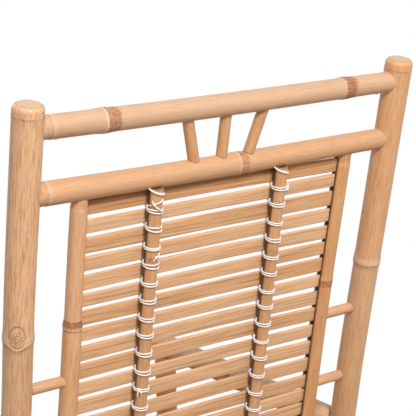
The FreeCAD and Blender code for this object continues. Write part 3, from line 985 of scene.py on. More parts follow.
@dataclass(frozen=True)
class Coped:
    """An end shaped over its host, sunk a little into the host's skin."""

    host: Host
    sink: float = 0.0008
    least: float = 0.006
    room: float = 0.0048
    lips: tuple[float, ...] = (0.0042, 0.0028, 0.0016, 0.0008, 0.0)

    def setback(self, end: Grid, inward: Grid, offsets: Grid) -> Grid:
        """How far from the end point each line of the skin meets the host.

        Args:
            end: The culm's end point.
            inward: Direction from there into the culm.
            offsets: Each line's place off the axis, columns by 3.

        Returns:
            A distance for each line.
        """
        axis = np.array(self.host.axis.normalized())
        across = end + offsets - np.array(self.host.point)
        across = across - np.outer(across @ axis, axis)
        step = inward - (inward @ axis) * axis
        a = step @ step
        b = 2.0 * across @ step
        c = (across**2).sum(1) - (self.host.radius - self.sink) ** 2
        root = np.sqrt(np.clip(b * b - 4.0 * a * c, 0.0, None))
        return np.maximum((-b + root) / (2.0 * a), self.least)

    def rows(self, edge: Grid, sign: float) -> list[tuple[Grid, float, float]]:
        """Rows close behind the edge, as a rounded end gives them."""
        return [(edge + sign * lip, 0.0, 0.0) for lip in self.lips]

    def gap(self, reach: Grid) -> Grid:
        """Distance from the crevice at the host."""
        return reach


@dataclass(frozen=True)
class Rounded:
    """A closed end with its rim rounded over, as wide as its room, and a slightly dished face."""

    radius: float
    room: float = 0.007
    steps: int = 10
    bare_from: Pair = (0.95, 1.30)
    face: tuple[float, ...] = (0.94, 0.88, 0.75, 0.5, 0.25, 0.05)
    lip: Pair = (0.0005, 0.05)
    dish: float = 0.0003

    def setback(self, end: Grid, inward: Grid, offsets: Grid) -> Grid:
        """Each line of the skin reaches the end point."""
        return np.zeros(len(offsets))

    def rows(self, edge: Grid, sign: float) -> list[tuple[Grid, float, float]]:
        """Rows over the rim and across the face, from the body outward.

        Args:
            edge: Where each line of the skin ends.
            sign: 1 at the culm's start and -1 at its end.

        Returns:
            Places along the culm, how far they draw in, and their share of bare end.
        """
        rows = []
        for angle in np.linspace(0.0, math.pi / 2.0, self.steps + 1)[1:]:
            place = edge + sign * self.room * (1.0 - math.sin(angle))
            bare = float(smooth(*self.bare_from, angle))
            rows.append((place, self.room * (1.0 - math.cos(angle)), bare))
        high, wide = self.lip
        for share in self.face:
            depth = high * hump(share - self.face[0], wide) + self.dish * (1.0 - share)
            rows.append((edge + sign * depth, self.radius - (self.radius - self.room) * share, 1.0))
        return rows

    def gap(self, reach: Grid) -> Grid:
        """Far from any crevice."""
        return np.ones(reach.shape)


Cut = Coped | Rounded


@dataclass
class Culm:
    """A straight bamboo culm or cane between two points, with its natural bow and taper."""

    name: str
    start: Vector
    end: Vector
    radius: float
    nodes: list[Node]
    start_cut: Cut
    end_cut: Cut
    tone: float = 0.5
    fibre: float = 0.45
    blush: float = 0.0
    shades: tuple[Shade, ...] = ()
    shade_soft: float = 0.003
    front: Vector = field(default_factory=lambda: Vector((0.45, 0.89, 0.0)))
    bow: Vector = field(default_factory=Vector)
    taper: tuple[float, ...] = (1.0, 1.0)
    taper_at: tuple[float, ...] = ()
    level: Pair = (0.0, 1.0)
    shaved: float = 0.0
    shave_depth: float = 0.0006
    shave_soft: float = 0.0007
    shave_reach: float = 0.003
    shave_band: float = 0.20
    shave_line: Pair = (0.40, 0.0009)
    # painted highlight along a shaved end's edge: strength, distance past the edge and width
    shave_edge_highlight: Triple = (0.55, 0.0018, 0.0010)
    rim_line: Triple = (0.60, 0.5, 0.30)
    crevice_reach: float = 0.004
    # painted shade and a dark glue line in the crevice where a coped end meets its host: strength
    # and reach
    joint_shade_and_glue: Pair = (0.60, 0.0015)
    # painted shade on the inside of an open bore
    bore_shade: float = 0.75
    finish: Finish = Finish.CULM
    columns: int = 64
    row_step: float = 0.012
    fine_step: float = 0.0008
    shave_step: float = 0.0006
    ease: float = 0.00012
    closed: ClassVar[bool] = True
    waves: ClassVar[tuple[Pair, ...]] = ((1, 0.00016), (2, 0.00020), (3, 0.00010))
    wave_radius: ClassVar[float] = 0.02
    twist: ClassVar[Pair] = (5.0, 16.0)
    grain_room: ClassVar[Pair] = (-5.0, 5.0)

    @property
    def length(self) -> float:
        """Distance between the end points."""
        return (self.end - self.start).length

    def axes(self, s: Grid) -> tuple[Grid, Grid, Grid]:
        """The culm's middle and two directions across it.

        Args:
            s: Places along the culm.

        Returns:
            Points of the middle line, the direction of angle zero and the one a quarter turn on.
        """
        along = np.array((self.end - self.start).normalized())
        first = np.array(self.front) - (np.array(self.front) @ along) * along
        first = first / np.linalg.norm(first)
        shape = (*s.shape, 3)
        middle = np.array(self.start) + s[..., None] * along
        middle = middle + np.sin(math.pi * s / self.length)[..., None] * np.array(self.bow)
        if self.name in SWAYS:
            zero, way = self.level
            middle[..., 0] += SWAYS[self.name].at(zero + way * s)
        second = np.cross(along, first)
        return middle, np.broadcast_to(first, shape), np.broadcast_to(second, shape)

    def girth(self, s: Grid) -> Grid:
        """The culm's radius along its length, tapered evenly or between the given places."""
        places = self.taper_at or (0.0, self.length)
        return self.radius * np.interp(s, places, self.taper) - self.ease

    def section(self, s: Grid) -> tuple[Grid, Grid, Grid]:
        """The section as angles, radii, and whether a point is on the outside, by rows of s."""
        turn = np.linspace(0.0, TURN, self.columns, endpoint=False)
        return np.broadcast_to(turn, s.shape), self.girth(s), np.ones(s.shape, bool)

    def stations(self, low: float, high: float) -> Grid:
        """Places along the body, close together at the knuckles and at a shaved edge.

        Args:
            low: Where the body starts.
            high: Where it ends.

        Returns:
            The places in order.
        """
        places = [np.linspace(low, high, max(4, int((high - low) / self.row_step)))]
        places += [np.arange(node.place - node.reach, node.place + node.reach, self.fine_step)
                   for node in self.nodes]
        if self.shaved:
            reach = self.shave_reach
            places.append(np.arange(self.shaved - reach, self.shaved + reach, self.shave_step))
        return within(places, low, high)

    def lines(self) -> tuple[Grid, Grid, Grid, Grid]:
        """Rows of the skin from end to end.

        Returns:
            Places along the culm, how far the rows draw in at a rounded end, the share of bare cut
            end, and the distance from a coped end, each rows by columns.
        """
        probe = np.zeros((1, self.columns))
        turn, radius, _ = self.section(probe)
        _, first, second = self.axes(probe)
        offsets = (radius[..., None] * spokes(turn, first, second))[0]
        along = np.array((self.end - self.start).normalized())
        near, far = self.start_cut, self.end_cut
        low = near.setback(np.array(self.start), along, offsets)
        high = self.length - far.setback(np.array(self.end), -along, offsets)
        body = self.stations(low.max() + near.room, high.min() - far.room)
        rows = near.rows(low, 1.0)[::-1] + [(s, 0.0, 0.0) for s in body] + far.rows(high, -1.0)
        s, shrink, bare = (np.array([np.broadcast_to(value, low.shape) for value in values])
                           for values in zip(*rows))
        return s, shrink, bare, np.minimum(near.gap(s - low), far.gap(high - s))

    def wobble(self, s: Grid, turn: Grid) -> Grid:
        """The slight unevenness of a grown culm.

        Args:
            s: Places along the culm.
            turn: Angles round it.

        Returns:
            Heights over an even culm.
        """
        rng = random.Random(self.name)
        out = np.zeros(s.shape)
        for lobes, size in self.waves:
            twist = rng.uniform(*self.twist) * s
            out = out + size * np.sin(lobes * turn + twist + rng.uniform(0.0, TURN))
        return out * self.radius / self.wave_radius

    def painted_crevice_shade(self, s: Grid, turn: Grid) -> Grid:
        """Painted shade on the outside of the section; none on a plain culm."""
        return np.zeros(s.shape)

    def shave(self, s: Grid) -> Grid:
        """1 over a shaved end and 0 elsewhere."""
        return 1.0 - about(self.shaved, self.shave_soft, s)

    def dress(self, s: Grid, arc: Grid, bare: Grid) -> dict[str, Grid]:
        """Paints the body: tone, olive, knuckles and a shaved end.

        Args:
            s: Places along the culm.
            arc: Distances round the culm from angle zero.
            bare: Share of bare cut end.

        Returns:
            Values by name for every point of the skin.
        """
        plain = {"band": 0.0, "line": 0.0, "ring": 0.0, "olive": 0.0,
                 "tone": self.tone, "fibre": self.fibre, "blush": self.blush}
        paint = {"bare": bare} | {name: np.full(s.shape, v) for name, v in plain.items()}
        for shade in self.shades:
            share = about(shade.place, self.shade_soft, s)
            for name, value in (("tone", shade.tone), ("olive", shade.olive)):
                paint[name] = paint[name] + share * (value - paint[name])
        coats = [item for node in self.nodes for item in node.colours(s, arc).items()]
        if self.shaved:
            # A shaved end gets its band, a dark line at its edge and a painted highlight just past
            # it.
            past, (dark, thin), (pale, at, wide) = s - self.shaved, self.shave_line, self.shave_edge_highlight
            coats += [("band", self.shave_band * self.shave(s)), ("line", dark * hump(past, thin)),
                      ("ring", pale * hump(past - at, wide))]
        dark, at, wide = self.rim_line
        for name, values in [*coats, ("line", dark * hump(bare - at, wide))]:
            paint[name] = np.maximum(paint[name], values)
        return paint

    def build(self) -> None:
        """Makes the culm's mesh and dresses it."""
        s, shrink, bare, gap = self.lines()
        turn, radius, outer = self.section(s)
        middle, first, second = self.axes(s)
        arc = from_zero(turn) * self.radius
        skin = self.wobble(s, turn)
        for node in self.nodes:
            skin = skin + node.relief(s, arc)
        if self.shaved:
            skin = skin - self.shave_depth * self.shave(s)
        keep = 1.0 - np.clip(shrink / self.radius, 0.0, 1.0)
        skin = np.where(outer, skin, 0.0) * keep * smooth(0.0, self.crevice_reach, gap)
        radius = radius - shrink + skin
        rng = random.Random(self.name)
        shift = [rng.uniform(*self.grain_room) for _ in range(3)]
        paint = self.dress(s, arc, bare)
        # Painted shade: crevices at coped ends, with their glue lines, slot lips, batten flanks and
        # the inside of bores.
        dark, reach = self.joint_shade_and_glue
        shaded = np.where(outer, self.painted_crevice_shade(s, turn), self.bore_shade)
        paint["grime"] = np.maximum(dark * hump(gap, reach), shaded)
        grain = np.stack([radius * np.cos(turn), radius * np.sin(turn), s], axis=-1)
        paint["grain"] = grain + np.array(shift)
        made = Skin()
        points = middle + radius[..., None] * spokes(turn, first, second)
        made.add_tube(points, paint, caps=self.closed)
        made.piece(self.name + "_skin", self.finish, self.name)


@dataclass(kw_only=True)
class SlottedCulm(Culm):
    """A culm with a long slot on the side of angle zero, where slats enter; open at its ends."""

    bore: float
    slot: float
    slot_from: float
    slot_to: float
    slot_soft: float = 0.0004
    slot_rows: tuple[float, ...] = (-0.0005, 0.0, 0.0005)
    lip_limits: Pair = (0.002, 0.9)
    # painted shade along the slot's lips: its reach from the lip and its strength
    slot_shade_reach: Pair = (0.0012, 0.0034)
    slot_shade_strength: float = 0.94
    closed: ClassVar[bool] = False

    def openness(self, s: Grid) -> Grid:
        """1 where the slot is open and 0 beyond its ends."""
        start = about(self.slot_from, self.slot_soft, s)
        return start * (1.0 - about(self.slot_to, self.slot_soft, s))

    def section(self, s: Grid) -> tuple[Grid, Grid, Grid]:
        """The section runs round the outside from lip to lip of the slot and back along the bore.

        Args:
            s: Places along the culm, rows by columns.

        Returns:
            Angles, radii, and whether a point is on the outside, all of the same shape.
        """
        outside = self.columns * 2 // 3
        back = np.linspace(1.0, 0.0, self.columns - outside)
        share = np.concatenate([np.linspace(0.0, 1.0, outside), back])
        outer = np.broadcast_to(np.arange(self.columns) < outside, s.shape)
        radius = np.where(outer, self.girth(s), self.bore)
        lip = np.arcsin(np.clip(self.slot * self.openness(s) / radius, *self.lip_limits))
        return lip + share * (TURN - 2.0 * lip), radius, outer

    def painted_crevice_shade(self, s: Grid, turn: Grid) -> Grid:
        """Painted shade in a dark line along both lips of the slot."""
        from_lip = np.abs(from_zero(turn)) * self.radius - self.slot
        return self.slot_shade_strength * self.openness(s) * (1.0 - smooth(*self.slot_shade_reach, from_lip))

    def stations(self, low: float, high: float) -> Grid:
        """Adds rows where the slot starts and ends."""
        extra = [end + step for end in (self.slot_from, self.slot_to) for step in self.slot_rows]
        return within([super().stations(low, high), extra], low, high)


@dataclass
class LashedCane(Culm):
    """A batten that lies against slats on the side opposite angle zero, with painted shade in the
    crevice.
    """

    # angles of the painted shade in the crevice beside the slats, and its strength
    crevice: Pair = (1.28, 1.48)
    crevice_shade_strength: float = 0.94

    def painted_crevice_shade(self, s: Grid, turn: Grid) -> Grid:
        """Painted shade on the half that faces the slats."""
        return self.crevice_shade_strength * smooth(*self.crevice, np.abs(from_zero(turn)))


@dataclass(kw_only=True)
class BentCulm(Culm):
    """A rocker: a culm bent to an arc, planed even where it rolls on the floor."""

    layout: Layout
    planed: Pair = (0.9, 1.8)

    @property
    def length(self) -> float:
        """Length along the arc."""
        return self.layout.rocker_length

    def axes(self, s: Grid) -> tuple[Grid, Grid, Grid]:
        """The arc in its upright plane; angle zero points outward to the floor.

        Args:
            s: Places along the arc.

        Returns:
            Points of the middle line, the direction of angle zero and the one a quarter turn on.
        """
        lay = self.layout
        bend = (s - self.length / 2.0) / lay.rocker_axis
        zero = np.zeros(s.shape)
        out = np.stack([zero, np.sin(bend), -np.cos(bend)], axis=-1)
        along = np.stack([zero, np.cos(bend), np.sin(bend)], axis=-1)
        middle = out * lay.rocker_axis + np.array([self.start.x, 0.0, lay.rocker_radius])
        return middle, out, np.cross(along, out)

    def wobble(self, s: Grid, turn: Grid) -> Grid:
        """Even on the rolling side, uneven on top."""
        return super().wobble(s, turn) * smooth(*self.planed, np.abs(from_zero(turn)))


@dataclass(frozen=True)
class PostLook:
    """How a side's posts have grown.

    The back post's first knuckle lies so far under the crest rail; the post has a tone and a share
    of olive below that knuckle and a tone above it, and a scar at it or none.
    """

    first: float
    fibre: float
    low: Pair
    high: float
    front_tone: float
    scar: Scar | None = None


POST_LOOKS = {
    Side.LEFT: PostLook(0.2835, 0.75, (0.34, 0.30), 0.26, 0.45, Scar()),
    Side.RIGHT: PostLook(0.289, 0.5, (0.42, 0.40), 0.55, 0.35),
}


@dataclass
class SideFrame:
    """Posts, arm, seat rail, side stretcher and rocker of one side."""

    layout: Layout
    side: Side
    knuckle_step: float = 0.345
    post_top_speck: float = 0.0145
    post_rim: float = 0.008
    front_knuckle: float = 0.150
    arm_knuckle_share: float = 0.532
    arm_end_knuckle: float = 0.046
    rail_knuckle_share: float = 0.45
    rocker_step: float = 0.250

    @property
    def x(self) -> float:
        """The side's place across."""
        return self.side.value * self.layout.half

    @property
    def hosts(self) -> dict[str, Host]:
        """What other pieces are coped against.

        Returns:
            Hosts by the name of the culm.
        """
        lay, x = self.layout, self.x
        foot = lay.back_post_foot(x)
        front_foot = Vector((x, lay.front_post_y, lay.rocker_z(lay.front_post_y)))
        return {
            "back_post": Host(foot, lay.back.to_3x3() @ UP, lay.post),
            "front_post": Host(front_foot, UP, lay.post),
            "arm": Host(Vector((x, 0.0, lay.arm_height)), REAR, lay.arm),
            "rocker_rear": Host(foot, self.rocker_run(foot), lay.rocker_tube),
            "rocker_front": Host(front_foot, self.rocker_run(front_foot), lay.rocker_tube),
        }

    def rocker_run(self, point: Vector) -> Vector:
        """The rocker's direction at a point of its axis."""
        return Vector((0.0, self.layout.rocker_radius - point.z, point.y))

    def build(self) -> None:
        """Builds the whole side."""
        self.build_posts()
        self.build_arm()
        self.build_rails()
        self.build_rocker()

    def build_posts(self) -> None:
        """Builds the back post and the front post."""
        lay, look, hosts, x = self.layout, POST_LOOKS[self.side], self.hosts, self.x
        top = lay.crest_z + lay.post_rise
        foot, head = hosts["back_post"].point, lay.in_back(x, 0.0, top)
        tall = (head - foot).length
        first = tall - lay.post_rise - look.first
        nodes = [Node(first - k * self.knuckle_step, turned=True, scar=None if k else look.scar)
                 for k in range(3)]
        nodes.append(Node(tall - self.post_top_speck, Knuckle.SPECKED))
        Culm(self.side.piece("back_post"), foot, head, lay.post, nodes, Coped(hosts["rocker_rear"]),
             Rounded(lay.post, self.post_rim), fibre=look.fibre, level=(top - tall, 1.0),
             shades=(Shade(0.0, *look.low), Shade(first, look.high)), columns=112,
             front=Vector((0.54, 0.84, 0.0))).build()
        foot, head = hosts["front_post"].point, Vector((x, lay.front_post_y, lay.arm_height))
        node = Node(lay.arm_height - self.front_knuckle - foot.z, turned=True)
        cuts = [Coped(hosts[name]) for name in ("rocker_front", "arm")]
        Culm(self.side.piece("front_post"), foot, head, lay.post, [node], *cuts,
             tone=look.front_tone, columns=80).build()

    def build_arm(self) -> None:
        """Builds the arm, closed at its front end."""
        lay = self.layout
        length = lay.arm_reach + lay.arm_overhang
        rear = Vector((self.x, lay.back_joint_y, lay.arm_height))
        front = rear - Vector((0.0, length, 0.0))
        nodes = [Node(self.arm_knuckle_share * lay.arm_reach, Knuckle.SCALY),
                 Node(length - self.arm_end_knuckle)]
        Culm(self.side.piece("arm"), rear, front, lay.arm, nodes, Coped(self.hosts["back_post"]),
             Rounded(lay.arm), tone=0.30, columns=80, front=UP).build()

    def build_rails(self) -> None:
        """Builds the slotted seat rail and the side stretcher."""
        lay, x, inward = self.layout, self.x, -self.side.value * ACROSS
        cuts = [Coped(self.hosts[posts.value]) for posts in Posts]
        depth = lay.seat_depth(0.0)
        front, rear = lay.in_seat(x, 0.0, 0.0), lay.in_seat(x, 0.0, depth)
        first, last = SeatPanel(lay).room()
        SlottedCulm(self.side.piece("seat_rail"), front, rear, lay.seat_rail,
                    [Node(self.rail_knuckle_share * depth)], *cuts, tone=0.42,
                    front=inward, columns=78, bore=lay.seat_rail_bore,
                    slot=lay.seat_slat / 2.0 + lay.slot_ease, slot_from=first - lay.slot_margin,
                    slot_to=last + lay.slot_margin).build()
        height = lay.side_stretcher_height
        front = Vector((x, lay.front_post_y, height))
        rear = Vector((x, lay.back_post_y(height), height))
        node = Node(self.rail_knuckle_share * (rear - front).length)
        Culm(self.side.piece("side_stretcher"), front, rear, lay.stretcher, [node], *cuts,
             front=-inward).build()

    def build_rocker(self) -> None:
        """Builds the rocker."""
        lay, half = self.layout, self.layout.rocker_span / 2.0
        tip = Vector((self.x, -half, lay.rocker_z(half)))
        nodes = [Node(lay.rocker_length / 2.0 + k * self.rocker_step, Knuckle.PLANED)
                 for k in (-1, 0, 1)]
        end = Rounded(lay.rocker_tube)
        BentCulm(self.side.piece("rocker"), tip, tip + Vector((0.0, lay.rocker_span, 0.0)),
                 lay.rocker_tube, nodes, end, end, tone=0.55, columns=80, layout=lay).build()


@dataclass(frozen=True)
class RailLook:
    """How a cross rail has grown.

    Its tone goes from pale 0 to deep 1, its knuckles count from the left, its middle sags down the
    back, its taper gives the left and the right end as shares of its radius, its shaved end reaches
    so far from the left post's axis, and its blush is the share of a paler, pinker skin.
    """

    tone: float
    nodes: list[Node]
    sag: float = 0.0
    taper: Pair = (1.0, 1.0)
    shaved: float = 0.0
    blush: float = 0.0


@dataclass
class CrossRails:
    """The rails and stretchers between the two sides, and the fan of spindles in the crest."""

    layout: Layout
    fan_top: float = 0.0655
    fan_foot: float = 0.0415
    fan_shift: float = 0.0035
    knuckle_shares: Pair = (0.217, 0.575)

    def build(self) -> None:
        """Builds all cross pieces from the crest down."""
        lay = self.layout
        height, drop = lay.cross_stretcher_height, lay.seat_drop
        first, second = (share * lay.post_spacing for share in self.knuckle_shares)
        cross = [Node(first), Node(second, Knuckle.SCALY)]
        crest = RailLook(0.72, [Node(0.1035, Knuckle.SCALY), Node(0.497, Knuckle.RUSTY)],
                         lay.crest_sag, (1.012, 0.960), 0.0272, 0.8)
        shoulder = RailLook(0.92, [Node(0.321, Knuckle.SOFT)], lay.shoulder_sag, (1.0, 0.940),
                            0.0262, 0.46)
        top = lay.in_back(0.0, 0.0, lay.crest_z + lay.crest_lift)
        self.rail("crest_rail", top, lay.crest, crest)
        self.rail("shoulder_rail", lay.in_back(0.0, 0.0, lay.shoulder_z), lay.shoulder, shoulder)
        self.rail("lower_back_rail", lay.in_back(0.0, 0.0, lay.lower_rail_z), lay.shoulder,
                  RailLook(0.45, cross))
        self.rail("rear_seat_rail", lay.rear_seat_rail, lay.seat_rail, RailLook(0.5, cross))
        self.rail("front_seat_rail", lay.in_seat(0.0, drop, lay.seat_front(drop)), lay.seat_rail,
                  RailLook(0.3, cross), Posts.FRONT)
        self.rail("front_stretcher", Vector((0.0, lay.front_post_y, height)), lay.stretcher,
                  RailLook(0.55, cross), Posts.FRONT)
        self.rail("rear_stretcher", Vector((0.0, lay.back_post_y(height), height)), lay.stretcher,
                  RailLook(0.4, cross))
        self.build_fan()

    def rail(self, name: str, middle: Vector, radius: float, look: RailLook,
             posts: Posts = Posts.BACK) -> None:
        """Builds one cross rail.

        Args:
            name: The rail's name.
            middle: The middle of its axis.
            radius: Its radius.
            look: How it has grown.
            posts: The posts that hold it.
        """
        reach = Vector((self.layout.half, 0.0, 0.0))
        cuts = [Coped(SideFrame(self.layout, side).hosts[posts.value]) for side in Side]
        turn = self.layout.back.to_3x3()
        Culm(name, middle + reach, middle - reach, radius, look.nodes, *cuts, tone=look.tone,
             fibre=0.25, front=turn @ REAR, bow=turn @ Vector((0.0, 0.0, -look.sag)),
             taper=look.taper, shaved=look.shaved, blush=look.blush, columns=80).build()

    def build_fan(self) -> None:
        """Builds the three spindles that spread from the shoulder rail up to the crest rail."""
        lay = self.layout
        for name, sign, tone in (("left", 1.0, 0.20), ("centre", 0.0, 0.30), ("right", -1.0, 0.36)):
            top = lay.rail_point(lay.crest_z + lay.crest_lift, lay.crest_sag,
                                 sign * self.fan_top + self.fan_shift)
            foot = lay.rail_point(lay.shoulder_z, lay.shoulder_sag,
                                  sign * self.fan_foot + self.fan_shift)
            cuts = Coped(Host(top, ACROSS, lay.crest)), Coped(Host(foot, ACROSS, lay.shoulder))
            Culm("crest_spindle_" + name, top, foot, lay.stick, [], *cuts, tone=tone,
                 finish=Finish.CANE, columns=40).build()


@dataclass
class CordRun:
    """A two-strand twisted cord along a smooth line."""

    points: list[Vector]
    radius: float
    lay: float = 0.0052
    columns: int = 9
    step: float = 0.0011
    lobes: Pair = (0.80, 0.24)
    curve_steps: int = 8
    first_side: Triple = (0.31, 0.62, 0.72)
    tip: float = 0.25
    tip_reach: Pair = (-0.0002, 0.0010)
    groove: Pair = (0.05, 0.55)

    def line(self) -> Grid:
        """Draws a smooth curve through the given points.

        Returns:
            Evenly spaced points of the cord's middle.
        """
        p = np.array([tuple(v) for v in self.points])
        p = np.vstack([2.0 * p[0] - p[1], p, 2.0 * p[-1] - p[-2]])
        share = np.linspace(0.0, 1.0, self.curve_steps, endpoint=False)[:, None]
        runs = []
        for a, b, c, d in zip(p, p[1:], p[2:], p[3:]):
            square = (2.0 * a - 5.0 * b + 4.0 * c - d) * share**2
            cube = (3.0 * b - a - 3.0 * c + d) * share**3
            runs.append(0.5 * (2.0 * b + (c - a) * share + square + cube))
        fine = np.vstack(runs + [p[-2:-1]])
        far = run_lengths(fine)
        even = np.linspace(0.0, far[-1], max(4, int(far[-1] / self.step)))
        return np.stack([np.interp(even, far, fine[:, k]) for k in range(3)], axis=1)

    def add_to(self, skin: Skin) -> float:
        """Sweeps the twisted section along the line.

        Args:
            skin: The piece that takes the cord.

        Returns:
            The cord's length.
        """
        middle = self.line()
        ahead = np.gradient(middle, axis=0)
        ahead = ahead / np.linalg.norm(ahead, axis=1, keepdims=True)
        side = np.zeros_like(ahead)
        last = np.cross(ahead[0], self.first_side)
        for k, way in enumerate(ahead):
            last = last - (last @ way) * way
            last = last / np.linalg.norm(last)
            side[k] = last
        far = run_lengths(middle)
        turn = np.linspace(0.0, TURN, self.columns, endpoint=False)[None, :]
        lobe = np.abs(np.cos(turn - TURN * far[:, None] / self.lay))
        least, more = self.lobes
        end = smooth(*self.tip_reach, np.minimum(far, far[-1] - far)[:, None])
        radius = self.radius * (least + more * lobe) * (self.tip + (1.0 - self.tip) * end)
        round_it = spokes(turn, side[:, None, :], np.cross(ahead, side)[:, None, :])
        points = middle[:, None, :] + radius[..., None] * round_it
        # the groove between the strands, where the cord's finish paints shade
        skin.add_tube(points, {"groove": 1.0 - smooth(*self.groove, lobe), "grain": points})
        return float(far[-1])


@dataclass
class Lashing:
    """A doubled cord that winds round a batten and the slats in front of it, with its knots.

    Its ends are the batten's ends as pairs of across and along, and its spreads, in millimetres,
    are half the strands' distance on the batten at one gap after another.
    """

    name: str
    place: Matrix
    gaps: list[float]
    ends: tuple[Pair, Pair]
    depth: float
    batten: float
    slat: float
    spreads: tuple[float, ...] = (2.2, 1.4, 2.6, 1.9)
    knots: tuple["KnotWork", ...] = ()
    cord: float = 0.00108
    pinch: float = 0.0013
    front_spread: float = 0.0011
    first_spread: float = 0.0007
    first_tilt: float = 0.0048
    most_tilt: float = 0.0010
    dive: float = 0.001
    corner: Pair = (0.86, 0.16)
    knot_lift: float = 0.0010
    knot_steps: int = 24
    knot_shape: Triple = (0.5, 0.45, 0.55)
    fan: ClassVar[tuple[Pair, ...]] = (
        (-122.0, 0.0), (-90.0, 0.10), (-60.0, 0.42), (-30.0, 0.75), (0.0, 0.92), (30.0, 1.0),
        (60.0, 1.0), (90.0, 0.80), (122.0, 0.2))

    def across(self, z: float) -> float:
        """The batten's place across."""
        (x0, z0), (x1, z1) = self.ends
        return x0 + (z - z0) / (z1 - z0) * (x1 - x0)

    def on_batten(self, angle: float, z: float, lift: float = 0.0) -> Vector:
        """A point over the batten.

        Args:
            angle: Degrees from the side away from the slats, positive to the right.
            z: Place along the batten.
            lift: Distance over the cord's own lay.

        Returns:
            The point in the chair's frame.
        """
        reach, turn = self.batten + self.cord + lift, math.radians(angle)
        x, y = self.across(z) - reach * math.sin(turn), self.depth + reach * math.cos(turn)
        return self.place @ Vector((x, y, z))

    def winding(self, strand: float) -> list[Vector]:
        """The way of one strand over every gap and behind every slat.

        Args:
            strand: -1 for the lower strand and 1 for the upper.

        Returns:
            Points of the way.
        """
        rng = random.Random(self.name)
        reach, last = 0.5 * (self.batten + self.cord), len(self.gaps) - 1
        face, front = -(self.slat / 2.0 + self.cord), strand * self.front_spread
        out, turned = self.corner
        way: list[Vector] = []
        for k, gap in enumerate(self.gaps):
            inner = strand * (0.0 if k in (0, last) else self.pinch)
            spread = MM * self.spreads[k % len(self.spreads)] if k else self.first_spread
            tilt = rng.uniform(0.0, self.most_tilt) if k else self.first_tilt
            wide = strand * spread - inner
            way += [self.on_batten(a, gap + inner + wide * share - tilt * a / 90.0)
                    for a, share in self.fan]
            if k == last:
                break
            after, x = self.gaps[k + 1], self.across(gap)
            sink = strand * (0.0 if k + 1 == last else self.pinch)
            step = turned * (after - gap)
            for off, deep, z in ((-1.0, self.dive, gap + inner), (-out, face, gap + step + front),
                                 (0.0, face, (gap + after) / 2.0 + front),
                                 (out, face, after - step + front), (1.0, self.dive, after + sink)):
                way.append(self.place @ Vector((x + off * reach, deep, z)))
        return way

    def knot(self, angle: float, z: float, size: float) -> list[Vector]:
        """A small pulled-tight overhand knot on the batten.

        Args:
            angle: Degrees from the side away from the slats, positive to the right.
            z: Place along the batten.
            size: Half the distance of its strands.

        Returns:
            Points of the knotted cord.
        """
        middle = self.on_batten(angle, z, self.knot_lift)
        out = (self.on_batten(angle, z, 10.0 * self.knot_lift) - middle).normalized()
        up = (self.place.to_3x3() @ UP).normalized()
        side = up.cross(out)
        wide, high, deep = self.knot_shape
        loop = []
        for t in (TURN * k / self.knot_steps for k in range(self.knot_steps + 1)):
            a, b = math.sin(t) + 2.0 * math.sin(2.0 * t), math.cos(t) - 2.0 * math.cos(2.0 * t)
            knotted = wide * a * side + high * b * up - deep * math.sin(3.0 * t) * out
            loop.append(middle + size * knotted)
        return loop

    def build(self) -> None:
        """Builds both strands and the knots of this lashing."""
        skin = Skin()
        runs = [CordRun(self.winding(strand), self.cord) for strand in (-1.0, 1.0)]
        length = sum(run.add_to(skin) for run in runs)
        for work in self.knots:
            work.add_to(skin, self)
        skin.piece(self.name + "_cord", Finish.CORD, self.name)
        LOG.info("%s: %.2f m of cord in the winding", self.name, length)


@dataclass(frozen=True)
class KnotWork:
    """A knot on a batten and its strands, as points of angle, place below the top and lift."""

    angle: float
    below: float
    size: float
    strands: tuple[tuple[Triple, ...], ...]
    cord: float = 0.0010

    def add_to(self, skin: Skin, lashing: Lashing) -> None:
        """Adds the knot and its strands.

        Args:
            skin: The piece that takes them.
            lashing: The lashing that they belong to.
        """
        top = lashing.gaps[0]
        ways = [lashing.knot(self.angle, top - self.below, self.size)]
        for strand in self.strands:
            ways.append([lashing.on_batten(a, top - below, lift) for a, below, lift in strand])
        for way in ways:
            CordRun(way, self.cord).add_to(skin)


BACK_KNOTS = {
    Side.LEFT: (
        KnotWork(-41.0, 0.0142, 0.0011, (
            ((34.0, 0.0085, 0.0), (-4.0, 0.0115, 0.0010), (-41.0, 0.0142, 0.0012),
             (-95.0, 0.0195, 0.0)),
            ((-56.0, 0.0092, 0.0010), (-41.0, 0.0142, 0.0022), (-6.0, 0.0210, 0.0020),
             (46.0, 0.0290, 0.0008)),
        )),
        KnotWork(0.0, 0.0905, 0.0012, (
            ((0.0, 0.0905, 0.0010), (16.0, 0.0870, 0.0020), (24.0, 0.0845, 0.0010)),
            ((0.0, 0.0905, 0.0010), (-14.0, 0.0940, 0.0016), (-20.0, 0.0965, 0.0006)),
        )),
        KnotWork(-46.0, 0.2930, 0.0016, (
            ((-46.0, 0.2930, 0.0015), (-52.0, 0.2985, 0.0028), (-54.0, 0.3050, 0.0012)),
            ((-44.0, 0.2930, 0.0015), (-32.0, 0.2965, 0.0028), (-30.0, 0.3000, 0.0012)),
        )),
    ),
    Side.RIGHT: (
        KnotWork(42.0, 0.0275, 0.0013, (
            ((42.0, 0.0275, 0.0010), (54.0, 0.0240, 0.0020), (60.0, 0.0190, 0.0010)),
            ((42.0, 0.0275, 0.0010), (56.0, 0.0310, 0.0020), (66.0, 0.0350, 0.0010)),
        )),
    ),
}


@dataclass(frozen=True)
class SlatForm:
    """How one slat differs from an even row.

    Its shift, its width and where its ends lie are in millimetres, and its tone goes from pale 0 to
    deep 1.
    """

    shift: float
    width: float
    left: float
    right: float
    tone: float
